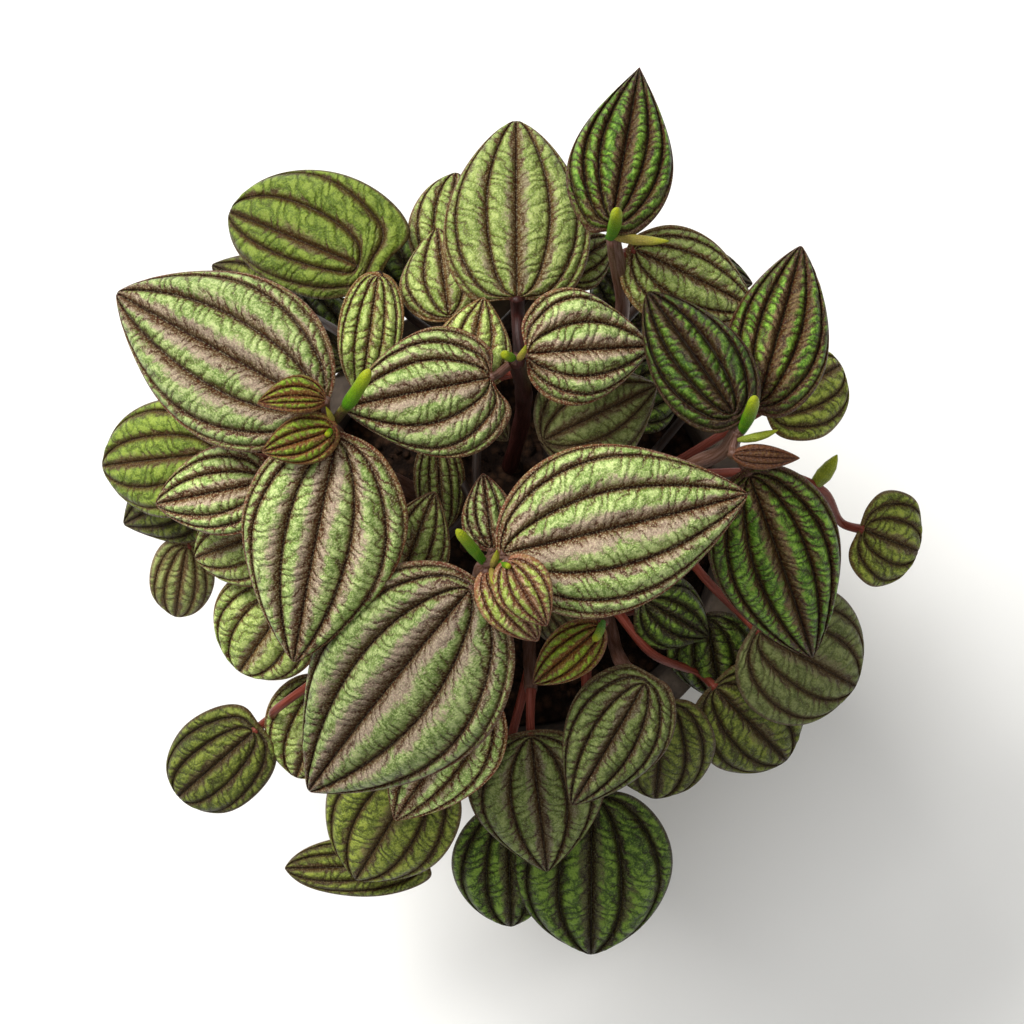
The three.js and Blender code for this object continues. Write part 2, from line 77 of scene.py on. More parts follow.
def makeCamera():
    data = bpy.data.cameras.new("overheadCamera")
    data.sensor_fit = "HORIZONTAL"
    data.sensor_width = studio["sensor"]
    data.lens = plan["focal"] * studio["sensor"] / (2 * plan["middle"])
    data.clip_start, data.clip_end = 0.05, 20
    camera = bpy.data.objects.new("overheadCamera", data)
    camera.location = (plan["shiftX"] / 1000, plan["shiftY"] / 1000, plan["eyeHeight"] / 1000)
    scene.collection.objects.link(camera)
    scene.camera = camera


def makeLights():
    for name, spot, target, width, height, watts, colour in studio["lights"]:
        data = bpy.data.lights.new(name, "AREA")
        data.shape = "RECTANGLE"
        data.size, data.size_y = width, height
        data.energy = watts
        data.color = colour
        light = bpy.data.objects.new(name, data)
        aim(light, spot, target)
        scene.collection.objects.link(light)
    world = bpy.data.worlds.new("paleRoom")
    world.use_nodes = True
    backdrop = world.node_tree.nodes["Background"]
    backdrop.inputs["Color"].default_value = (*studio["world"], 1)
    backdrop.inputs["Strength"].default_value = studio["worldStrength"]
    scene.world = world
    scene.view_settings.view_transform = "Standard"


# Nodes of the materials.

def newMaterial(name):
    material = bpy.data.materials.new(name)
    material.use_nodes = True
    tree = material.node_tree
    tree.nodes.clear()
    shader = tree.nodes.new("ShaderNodeBsdfPrincipled")
    output = tree.nodes.new("ShaderNodeOutputMaterial")
    tree.links.new(shader.outputs["BSDF"], output.inputs["Surface"])
    return material, tree, shader


def feed(tree, socket, value):
    # a link where the value is a socket, and a fixed number or colour otherwise
    if isinstance(value, bpy.types.NodeSocket):
        tree.links.new(value, socket)
    else:
        socket.default_value = value


def calc(tree, operation, *values):
    node = tree.nodes.new("ShaderNodeMath")
    node.operation = operation
    for socket, value in zip(node.inputs, values):
        feed(tree, socket, value)
    return node.outputs[0]


def step(tree, value, start, end, first=0.0, last=1.0):
    # goes smoothly from first to last while the value goes from start to end
    node = tree.nodes.new("ShaderNodeMapRange")
    node.interpolation_type = "SMOOTHSTEP"
    if start > end:
        start, end, first, last = end, start, last, first
    for name, number in (("Value", value), ("From Min", start), ("From Max", end),
                         ("To Min", first), ("To Max", last)):
        feed(tree, node.inputs[name], number)
    return node.outputs["Result"]


def blend(tree, factor, first, second, mode="MIX"):
    node = tree.nodes.new("ShaderNodeMix")
    node.data_type = "RGBA"
    node.blend_type = mode
    for index, value in ((0, factor), (6, first), (7, second)):
        feed(tree, node.inputs[index], value)
    return node.outputs[2]


def paint(tree, colour, share, tone):
    # the colour, covered by an sRGB tone to the given share
    return blend(tree, share, colour, linear(*tone))


def noise(tree, spot, scale, detail=2.0, roughness=0.5):
    node = tree.nodes.new("ShaderNodeTexNoise")
    node.noise_dimensions = "2D" if spot.node.bl_idname == "ShaderNodeUVMap" else "3D"
    feed(tree, node.inputs["Vector"], spot)
    for name, number in (("Scale", scale), ("Detail", detail), ("Roughness", roughness)):
        node.inputs[name].default_value = number
    return node.outputs["Fac"]


def bent(tree, spot, scale, amount):
    # the place moved about by a noise of its own, up to half the amount each way
    node = tree.nodes.new("ShaderNodeTexNoise")
    feed(tree, node.inputs["Vector"], spot)
    node.inputs["Scale"].default_value = scale
    move = tree.nodes.new("ShaderNodeVectorMath")
    move.operation = "MULTIPLY_ADD"
    tree.links.new(node.outputs["Color"], move.inputs[0])
    move.inputs[1].default_value = (amount, amount, 0)
    feed(tree, move.inputs[2], spot)
    return move.outputs[0]


def cells(tree, spot, scale, feature, randomness=1.0, dimensions="3D"):
    node = tree.nodes.new("ShaderNodeTexVoronoi")
    node.voronoi_dimensions = dimensions
    node.feature = feature
    feed(tree, node.inputs["Vector"], spot)
    node.inputs["Scale"].default_value = scale
    node.inputs["Randomness"].default_value = randomness
    return node.outputs["Distance"]


def surfaceMap(tree, name):
    node = tree.nodes.new("ShaderNodeUVMap")
    node.uv_map = name
    return node.outputs["UV"]


def split(tree, vector):
    node = tree.nodes.new("ShaderNodeSeparateXYZ")
    feed(tree, node.inputs[0], vector)
    return node.outputs[0], node.outputs[1], node.outputs[2]


def ownPlace(tree):
    return tree.nodes.new("ShaderNodeTexCoord").outputs["Object"]


def tintOf(tree, output):
    # what the mesh's tint attribute holds, as a "Vector" or a "Color"
    node = tree.nodes.new("ShaderNodeAttribute")
    node.attribute_name = "tint"
    return node.outputs[output]


def setShader(tree, shader, colour, rough, specular=0.5):
    feed(tree, shader.inputs["Base Color"], colour)
    feed(tree, shader.inputs["Roughness"], rough)
    shader.inputs["Specular IOR Level"].default_value = specular


def bump(tree, shader, height):
    # the height is in millimetres
    node = tree.nodes.new("ShaderNodeBump")
    node.inputs["Distance"].default_value = 0.001
    feed(tree, node.inputs["Height"], height)
    tree.links.new(node.outputs["Normal"], shader.inputs["Normal"])


def total(tree, *values):
    result = values[0]
    for value in values[1:]:
        result = calc(tree, "ADD", result, value)
    return result


def times(tree, *values):
    result = values[0]
    for value in values[1:]:
        result = calc(tree, "MULTIPLY", result, value)
    return result


def minus(tree, first, second):
    return calc(tree, "SUBTRACT", first, second)


# Meshes from grids.

def gridCorners(ids, flip=False):
    # each cell of a grid of vertex numbers, as four corners
    corners = np.stack([ids[:-1, :-1], ids[1:, :-1], ids[1:, 1:], ids[:-1, 1:]], axis=-1)
    return corners.reshape(-1, 4)[:, ::-1] if flip else corners.reshape(-1, 4)


def roundIds(shape, poles=True):
    # vertex numbers of a grid whose last column is its first, and whose first and last rows are
    # a pole each, or one and the same row
    ids = np.arange(shape[0] * shape[1]).reshape(shape)
    ids[:, -1] = ids[:, 0]
    if poles:
        ids[0], ids[-1] = ids[0, 0], ids[-1, 0]
    else:
        ids[-1] = ids[0]
    return ids


def plainPatch(points, corners):
    return {"points": points.reshape(-1, 3), "corners": corners.reshape(-1, 4), "slot": 0,
            "tint": (1, 1, 1, 1), "maps": {}}


def cornerValues(values, flip=False):
    # a grid's values (rows, columns, any) at the corners of its cells
    corners = np.stack([values[:-1, :-1], values[1:, :-1], values[1:, 1:], values[:-1, 1:]], axis=2)
    corners = corners.reshape(-1, 4, values.shape[-1])
    return corners[:, ::-1] if flip else corners


def buildMesh(name, patches, materials):
    # patches are joined in one mesh; corners that share a vertex are dropped, which leaves triangles
    points, corners, slots, maps, tints, start = [], [], [], {}, [], 0
    mapNames = sorted({key for patch in patches for key in patch["maps"]})
    for patch in patches:
        points.append(patch["points"])
        corners.append(patch["corners"] + start)
        slots.append(np.full(len(patch["corners"]), patch["slot"]))
        tints.append(np.broadcast_to(patch["tint"], (len(patch["points"]), 4)))
        for key in mapNames:
            empty = np.zeros((len(patch["corners"]), 4, 2))
            maps.setdefault(key, []).append(patch["maps"].get(key, empty))
        start += len(patch["points"])
    points, corners = np.concatenate(points), np.concatenate(corners)
    slots, tints = np.concatenate(slots), np.concatenate(tints)
    kept = corners != np.roll(corners, -1, axis=1)
    whole = kept.sum(axis=1) >= 3
    corners, kept, slots = corners[whole], kept[whole], slots[whole]
    used, cornerIds = np.unique(corners[kept], return_inverse=True)
    counts = kept.sum(axis=1)
    mesh = bpy.data.meshes.new(name)
    mesh.vertices.add(len(used))
    mesh.vertices.foreach_set("co", (points[used] / 1000).astype(np.float32).ravel())
    mesh.loops.add(len(cornerIds))
    mesh.loops.foreach_set("vertex_index", cornerIds.astype(np.int32).ravel())
    mesh.polygons.add(len(counts))
    mesh.polygons.foreach_set("loop_start", (np.cumsum(counts) - counts).astype(np.int32))
    mesh.polygons.foreach_set("material_index", slots.astype(np.int32))
    mesh.polygons.foreach_set("use_smooth", np.ones(len(counts), dtype=bool))
    for key in mapNames:
        values = np.concatenate(maps[key])[whole][kept]
        mesh.uv_layers.new(name=key).data.foreach_set("uv", values.astype(np.float32).ravel())
    shade = mesh.attributes.new("tint", "FLOAT_COLOR", "POINT")
    shade.data.foreach_set("color", tints[used].astype(np.float32).ravel())
    for material in materials:
        mesh.materials.append(material)
    mesh.update()
    mesh.validate()
    piece = bpy.data.objects.new(name, mesh)
    scene.collection.objects.link(piece)
    return piece


def place(spot):
    # the point in space, in millimetres, of a place in the plan
    across, down, height = spot
    scale = (plan["eyeHeight"] - height) / plan["focal"]
    return np.array([(across - plan["middle"]) * scale + plan["shiftX"],
                     (plan["middle"] - down) * scale + plan["shiftY"], height])


def unit(vectors):
    return vectors / np.maximum(np.linalg.norm(vectors, axis=-1, keepdims=True), 1e-9)


def waves(spots, seed, size, layers=5):
    # a smooth random height: sines in random directions, each layer finer and lower than the last
    dice = np.random.default_rng(seed)
    height = np.zeros(spots.shape[:-1])
    for layer in range(layers):
        fine = 1.7 ** layer
        for _ in range(3):
            way = unit(dice.normal(size=spots.shape[-1])) * 2 * np.pi * fine / size
            height += np.sin(spots @ way + dice.uniform(0, 6.28)) / (3 * fine)
    return height


# Stalks: round bars along a curve.

# sides is the number of faces round a bar, poleRise the height of its ends as a share of its
# radius, and mapRadius the radius in millimetres that its map takes for every bar.
bar = {"sides": 14, "poleRise": 0.3, "mapRadius": 2.2}


def curve(spots, shares):
    # a centripetal Catmull-Rom curve through the points: a cubic for each span, whose end slopes
    # come from the neighbours, weighted by the square roots of the distances
    spots = np.array(spots, dtype=float)
    ends = np.vstack([2 * spots[0] - spots[1], spots, 2 * spots[-1] - spots[-2]])
    along = np.clip(shares, 0, 1) * (len(spots) - 1)
    span = np.minimum(along.astype(int), len(spots) - 2)
    t = (along - span)[:, None]
    before, first, second, after = (ends[span + i] for i in range(4))
    gap = [np.linalg.norm(b - a, axis=1, keepdims=True) ** 0.5
           for a, b in ((before, first), (first, second), (second, after))]
    slopeIn = ((first - before) / gap[0] - (second - before) / (gap[0] + gap[1])
               + (second - first) / gap[1]) * gap[1]
    slopeOut = ((second - first) / gap[1] - (after - first) / (gap[1] + gap[2])
                + (after - second) / gap[2]) * gap[1]
    square = -3 * first + 3 * second - 2 * slopeIn - slopeOut
    cube = 2 * first - 2 * second + slopeIn + slopeOut
    return first + slopeIn * t + square * t ** 2 + cube * t ** 3


def tube(path, radii, tint, slot=0):
    # a profile carried along a path: a ring at each point, square to the path, closed by a pole
    # at each end; the map runs round it and along it in millimetres
    radii = np.broadcast_to(radii, len(path))
    way = unit(np.gradient(path, axis=0))
    whole = path[-1] - path[0]
    side = np.cross(whole, (0, 0, 1))
    side = unit(side) if np.linalg.norm(side) > 0.2 * np.linalg.norm(whole) else np.array([1.0, 0, 0])
    first = unit(side - (way @ side)[:, None] * way)
    second = np.cross(way, first)
    columns = bar["sides"] + 1
    turn = np.linspace(0, 2 * np.pi, columns)[None, :, None]
    rings = np.cos(turn) * first[:, None] + np.sin(turn) * second[:, None]
    rings = path[:, None] + radii[:, None, None] * rings
    startPole = path[:1] - way[:1] * radii[0] * bar["poleRise"]
    endPole = path[-1:] + way[-1:] * radii[-1] * bar["poleRise"]
    rings = np.concatenate([np.repeat(startPole[:, None], columns, 1), rings,
                            np.repeat(endPole[:, None], columns, 1)])
    run = np.concatenate([[0], np.cumsum(np.linalg.norm(np.diff(path, axis=0), axis=1))])
    run = np.concatenate([[0], run, run[-1:]])
    flat = np.stack(np.broadcast_arrays(turn[..., 0] * bar["mapRadius"], run[:, None]), axis=-1)
    corners = gridCorners(roundIds(rings.shape[:2]), flip=True)
    return {"points": rings.reshape(-1, 3), "corners": corners, "slot": slot, "tint": tint,
            "maps": {"flat": cornerValues(flat, flip=True)}}


# Leaves.

# What every leaf has, unless its own entry says otherwise. thickness and stalk, the petiole's
# radius, are in millimetres, and lobe in pixels of the plan, as the width is. light, sheen and
# brown are shares of what the look gives. light scales the leaf's whole colour: partly its own
# tone, partly painted light and painted shade, raised for leaves that lie in the shade of those
# above and lowered for leaves painted as more shaded.
blade = {
    "thickness": 0.9, "arch": 0.06, "droop": 0.12, "full": 0.8, "pointed": 1.35, "round": 0, "skew": 0,
    "roll": 0, "lobe": 6, "notch": 0.3, "notchWidth": 0.09, "light": 1, "sheen": 1, "brown": 1,
    "at": 1, "via": [], "stalk": 1.1, "skin": "red",
}
# each grid has the length in millimetres past which leaves have it, its rows, and its columns
# in each band
leafGrids = ((30, 110, 10), (15, 64, 8), (0, 44, 8))


def leafAt(name, look, base, tip, width, **more):
    return {**blade, "name": name, "look": look, "base": base, "tip": tip, "width": width, **more}


def leafAxes(leaf):
    base, tip = place(leaf["base"]), place(leaf["tip"])
    length = np.linalg.norm(tip - base)
    along = (tip - base) / length
    level = unit(np.cross((0, 0, 1), along))
    rise = np.cross(along, level)
    roll = radians(leaf["roll"])
    left = level * cos(roll) + rise * sin(roll)
    scale = (plan["eyeHeight"] - leaf["base"][2]) / plan["focal"]
    return {"base": base, "along": along, "left": left, "up": np.cross(along, left), "length": length,
            "halfWidth": leaf["width"] * scale / 2, "lobe": leaf["lobe"] * scale}


def bandEdges(look, reach, sign, seed):
    # the veins' places across the blade, from the midrib at 0 to the margin at 1. Each vein has
    # its place at the base and the share of the way to the margin that it drifts by the tip; both
    # vary by a sine of the seed and the side, and the vein wavers a little on its way.
    drift = np.clip((reach - 0.2) / 0.7, 0, 1)
    drift = (drift * drift * (3 - 2 * drift))[..., None]
    starts, drifts = np.array(look["veins"]).T
    order = np.arange(len(starts))
    own = np.sin(1.7 * seed + 2.6 * sign[..., None] + 1.9 * order)
    waver = np.sin(7 * reach[..., None] + 2 * own + seed) * np.sin(np.pi * np.clip(reach, 0, 1))[..., None]
    starts = starts * (1 + 0.12 * own * (1 - starts)) + 0.012 * waver
    veins = starts + (1 - starts) * drifts * (1 + 0.35 * own * (1 - drifts)) * drift
    return np.concatenate([np.zeros_like(drift), veins, np.ones_like(drift)], axis=-1)


def leafSheet(leaf, look, seed, band, share, sign, reach):
    # The blade's middle surface. reach runs from behind the base to the tip, and side from the
    # right margin, -1, to the left one, 1. The half width is a power of a sine of reach, and rows
    # bend back into the lobes with the cube of side. Between two veins the blade bulges by a power
    # of a sine. Puckers lie on each bulge: ribs where the ladder's phase passes whole numbers, and
    # smooth random waves.
    axes = leafAxes(leaf)
    length, halfWidth = axes["length"], axes["halfWidth"]
    edges = bandEdges(look, reach, sign, seed)
    low = np.take_along_axis(edges, band[..., None], axis=-1)[..., 0]
    high = np.take_along_axis(edges, band[..., None] + 1, axis=-1)[..., 0]
    far = low + (high - low) * share
    side = far * sign
    blunt = (1 - np.cos(np.pi * reach)) / 2
    forward = reach ** leaf["pointed"] * (1 - leaf["round"]) + blunt * leaf["round"]
    spread = np.clip(np.sin(np.pi * reach), 0, 1) ** leaf["full"]
    behind = np.exp(-(reach / leaf["notchWidth"]) ** 2)
    skew = leaf["skew"] * sign * (1 - behind)
    lobe = axes["lobe"] * (1 + 3 * skew) * (1 - leaf["notch"] * behind) * (1 - forward)
    along = length * forward - lobe * far ** 3
    half = halfWidth * (1 + skew) * spread
    across = half * side
    reached = along / length
    bow = 4 * leaf["arch"] * length * reached * (1 - reached)
    sag = leaf["droop"] * halfWidth * side ** 2 * spread
    # millimetres for each unit of side, across the blade and back along the lobes together
    scale = np.hypot(half, 3 * lobe * far ** 2)
    width = (high - low) * scale
    last = band == edges.shape[-1] - 2
    gap = np.where(last & (share > 0.5), share, np.minimum(share, 1 - share)) * width
    wander = 0.5 * np.sin(0.31 * along + 2.1 * band + seed) + 0.3 * np.sin(0.83 * along + seed * 2 + band)
    phase = (along - 0.8 * share * width) / look["ladder"] + wander + 0.37 * band + 0.5 * (sign > 0) + seed
    bulge = look["puff"] * np.minimum(width, 9) * np.sin(np.pi * share) ** 0.8
    cobble = waves(np.stack([along, across * 1.2], axis=-1), seed, 5.0, 3)
    pucker = look["pucker"] * (0.7 * np.abs(np.sin(np.pi * phase)) + 0.7 * cobble)
    pucker = pucker * np.sin(np.pi * share) ** 0.6 * np.minimum(width / 3, 1)
    ripple = look["wave"] * far ** 3 * spread * np.sin(look["waves"] * np.pi * reach + 2 * sign + seed)
    height = bow - sag + bulge + pucker + ripple
    points = (axes["base"] + along[..., None] * axes["along"] + across[..., None] * axes["left"]
              + height[..., None] * axes["up"])
    maps = {
        "stripe": np.stack([side, reach], axis=-1),
        "vein": np.stack([gap, phase], axis=-1),
        "flat": np.stack([across + 91 * seed, along + 57 * seed], axis=-1),
        "edge": np.stack([(1 - far) * scale, share], axis=-1),
    }
    return points, axes["up"], side, maps


def leafPatches(leaf, look, seed, slotTop, slotUnder, rows, perBand):
    # Two like sheets half a thickness apart that meet at the margins and the tip. The first row
    # is the seam behind the base, where the left and right halves share their points. A column
    # lies in a band, at a share of its width; where two bands meet, each keeps its own maps.
    bands = len(look["veins"]) + 1
    even = np.linspace(0, 1, perBand + 1)
    eased = even - 0.12 * np.sin(2 * np.pi * even)
    t = np.linspace(0, 1, rows + 1)
    reach = (t - 0.07 * np.sin(2 * np.pi * t))[:, None]
    band = np.concatenate([[0], np.repeat(np.arange(bands), perBand)])
    share = np.concatenate([[0], np.tile(eased[1:], bands)])
    sign = np.concatenate([-np.ones(len(band) - 1), np.ones(len(band))])
    band, share = (np.concatenate([half[:0:-1], half]) for half in (band, share))
    grids = np.broadcast_arrays(band[None], share[None], sign[None], reach)
    middle, up, side, _ = leafSheet(leaf, look, seed, *grids)
    thick = leaf["thickness"] / 2 * (1 - side ** 8)[..., None] * up
    top = np.arange(side.size).reshape(side.shape)
    top[0] = np.minimum(top[0], top[0, ::-1])
    top[-1] = top[-1, 0]
    under = top + side.size
    under[:, 0], under[:, -1], under[-1] = top[:, 0], top[:, -1], top[-1]
    points = np.concatenate([(middle + thick).reshape(-1, 3), (middle - thick).reshape(-1, 3)])
    # the same values at the corners of the cells, whose left and right sides are in one band
    cellBand = np.repeat(np.arange(bands), perBand)
    near, away = np.tile(eased[:-1], bands), np.tile(eased[1:], bands)
    leftShare, rightShare = np.concatenate([away[::-1], near]), np.concatenate([near[::-1], away])
    cellBand = np.concatenate([cellBand[::-1], cellBand])
    cellSign = np.where(np.arange(len(cellBand)) < len(near), -1.0, 1.0)
    corner = np.stack([leftShare, leftShare, rightShare, rightShare], axis=-1)[None]
    reachAt = np.stack([reach[:-1], reach[1:], reach[1:], reach[:-1]], axis=-1)
    grids = np.broadcast_arrays(cellBand[None, :, None], corner, cellSign[None, :, None], reachAt)
    maps = leafSheet(leaf, look, seed, *grids)[3]
    maps = {key: values.reshape(-1, 4, 2) for key, values in maps.items()}
    flipped = {key: values[:, ::-1] for key, values in maps.items()}
    tint = (leaf["light"], leaf["sheen"], leaf["brown"], 1)
    topPatch = {"points": points, "corners": gridCorners(top), "slot": slotTop, "tint": tint, "maps": maps}
    # the top's patch holds the points of both sheets, so the underside's numbers count back from its end
    underPatch = {"points": points[:0], "corners": gridCorners(under, flip=True) - len(points),
                  "slot": slotUnder, "tint": tint, "maps": flipped}
    return [topPatch, underPatch]


# How the leaves look.

# Colours are sRGB. light is the pale green of a painted highlight on the crests of the bulges, and
# speck the pale specks, partly the leaf's grain and partly painted glints. flush is the share of a
# band that is brown beside its inner vein, brown the half width in millimetres of the dark band at a
# vein, partly its own brown and partly painted shade in its groove, and sheen how silvery the brown
# turns away from veins, partly its own silvery mauve and partly a painted sheen. puff, pucker and
# wave are heights, ladder and net the way between the veinlets. The dark look for the low leaves
# deep in the plant is partly their own dark green, partly painted shade from the leaves above.
leafLooks = {
    "silver": {
        "light": (170, 186, 118), "green": (114, 140, 64), "sheenColour": (156, 132, 120), "sheen": 0.9,
        "brownColour": (84, 43, 27), "core": (42, 16, 8), "rim": (94, 46, 26), "brown": 0.4,
        "flush": 0.34, "line": 0.6, "grain": 0.8, "rough": 0.48, "net": 3.4,
        "speck": (206, 204, 160), "veins": ((0.4, 0.12), (0.73, 0.5), (0.92, 1.0)),
        "puff": 0.42, "pucker": 0.55, "ladder": 3.4, "wave": 0.5, "waves": 5,
    },
    "pale": {
        "light": (162, 176, 100), "green": (114, 134, 56), "sheenColour": (140, 126, 104), "sheen": 0.8,
        "brownColour": (84, 50, 24), "core": (48, 25, 10), "rim": (94, 60, 30), "brown": 0.4,
        "flush": 0.2, "line": 0.5, "grain": 0.6, "rough": 0.5, "net": 3.2,
        "speck": (200, 202, 160), "veins": ((0.4, 0.12), (0.74, 0.5), (0.92, 1.0)),
        "puff": 0.3, "pucker": 0.4, "ladder": 3.4, "wave": 0.4, "waves": 4,
    },
    "vivid": {
        "light": (130, 170, 58), "green": (66, 106, 18), "sheenColour": (112, 76, 62), "sheen": 0.7,
        "brownColour": (62, 26, 14), "core": (22, 7, 2), "rim": (66, 26, 12), "brown": 0.5,
        "flush": 0.27, "line": 0.6, "grain": 0.5, "rough": 0.45, "net": 2.4,
        "speck": (158, 158, 104), "veins": ((0.38, 0.12), (0.71, 0.4), (0.91, 0.9)),
        "puff": 0.42, "pucker": 0.48, "ladder": 2.7, "wave": 0.3, "waves": 4,
    },
    "grass": {
        "light": (138, 158, 58), "green": (92, 116, 28), "sheenColour": (140, 134, 88), "sheen": 0.6,
        "brownColour": (76, 45, 20), "core": (50, 28, 10), "rim": (76, 52, 20), "brown": 0.9,
        "flush": 0.08, "line": 0.35, "grain": 0.45, "rough": 0.48, "net": 4.2,
        "speck": (168, 176, 110), "veins": ((0.4, 0.15), (0.76, 0.7)),
        "puff": 0.2, "pucker": 0.34, "ladder": 4.2, "wave": 0.8, "waves": 3,
    },
    # a darker palette for low leaves: partly their own dark green, partly painted shade from the leaves above
    "deep": {
        "light": (112, 142, 46), "green": (54, 80, 12), "sheenColour": (104, 104, 62), "sheen": 0.4,
        "brownColour": (38, 21, 7), "core": (18, 8, 2), "rim": (42, 25, 8), "brown": 1.0,
        "flush": 0.2, "line": 0.55, "grain": 0.5, "rough": 0.46, "net": 3.8,
        "speck": (136, 144, 84), "veins": ((0.37, 0.15), (0.73, 0.6)),
        "puff": 0.25, "pucker": 0.36, "ladder": 3.8, "wave": 0.9, "waves": 3,
    },
    "olive": {
        "light": (120, 130, 48), "green": (72, 84, 20), "sheenColour": (118, 110, 68), "sheen": 0.5,
        "brownColour": (54, 34, 14), "core": (32, 18, 6), "rim": (64, 42, 16), "brown": 0.8,
        "flush": 0.12, "line": 0.45, "grain": 0.45, "rough": 0.5, "net": 3.6,
        "speck": (142, 142, 96), "veins": ((0.38, 0.15), (0.74, 0.6)),
        "puff": 0.22, "pucker": 0.3, "ladder": 3.6, "wave": 0.9, "waves": 4,
    },
    "dull": {
        "light": (120, 128, 74), "green": (86, 96, 44), "sheenColour": (126, 120, 86), "sheen": 0.6,
        "brownColour": (68, 48, 26), "core": (46, 29, 14), "rim": (80, 62, 42), "brown": 0.8,
        "flush": 0.12, "line": 0.4, "grain": 0.45, "rough": 0.52, "net": 3.6,
        "speck": (146, 146, 110), "veins": ((0.38, 0.15), (0.74, 0.6)),
        "puff": 0.2, "pucker": 0.26, "ladder": 3.4, "wave": 0.7, "waves": 3,
    },
    "young": {
        "light": (136, 168, 40), "green": (92, 112, 20), "sheenColour": (132, 108, 62), "sheen": 0.5,
        "brownColour": (96, 46, 20), "core": (50, 22, 8), "rim": (96, 50, 28), "brown": 0.3,
        "flush": 0.3, "line": 0.3, "grain": 0.7, "rough": 0.44, "net": 2.4,
        "speck": (170, 160, 90), "veins": ((0.4, 0.15), (0.78, 0.6)),
        "puff": 0.42, "pucker": 0.12, "ladder": 2.6, "wave": 0.2, "waves": 2,
    },
    "rosy": {
        "light": (168, 182, 96), "green": (120, 138, 50), "sheenColour": (176, 140, 122), "sheen": 0.8,
        "brownColour": (96, 50, 34), "core": (62, 28, 16), "rim": (112, 66, 46), "brown": 0.32,
        "flush": 0.34, "line": 0.3, "grain": 0.6, "rough": 0.44, "net": 2.4,
        "speck": (206, 190, 160), "veins": ((0.37, 0.1), (0.72, 0.4)),
        "puff": 0.42, "pucker": 0.12, "ladder": 2.6, "wave": 0.2, "waves": 2,
    },
    "scorched": {
        "light": (116, 94, 34), "green": (84, 66, 24), "sheenColour": (100, 70, 36), "sheen": 0.6,
        "brownColour": (70, 40, 20), "core": (46, 21, 12), "rim": (84, 44, 22), "brown": 0.8,
        "flush": 0.5, "line": 0.5, "grain": 0.5, "rough": 0.42, "net": 1.6,
        "speck": (130, 96, 60), "veins": ((0.5, 0.1),),
        "puff": 0.18, "pucker": 0.1, "ladder": 1.6, "wave": 0.2, "waves": 2,
    },
}


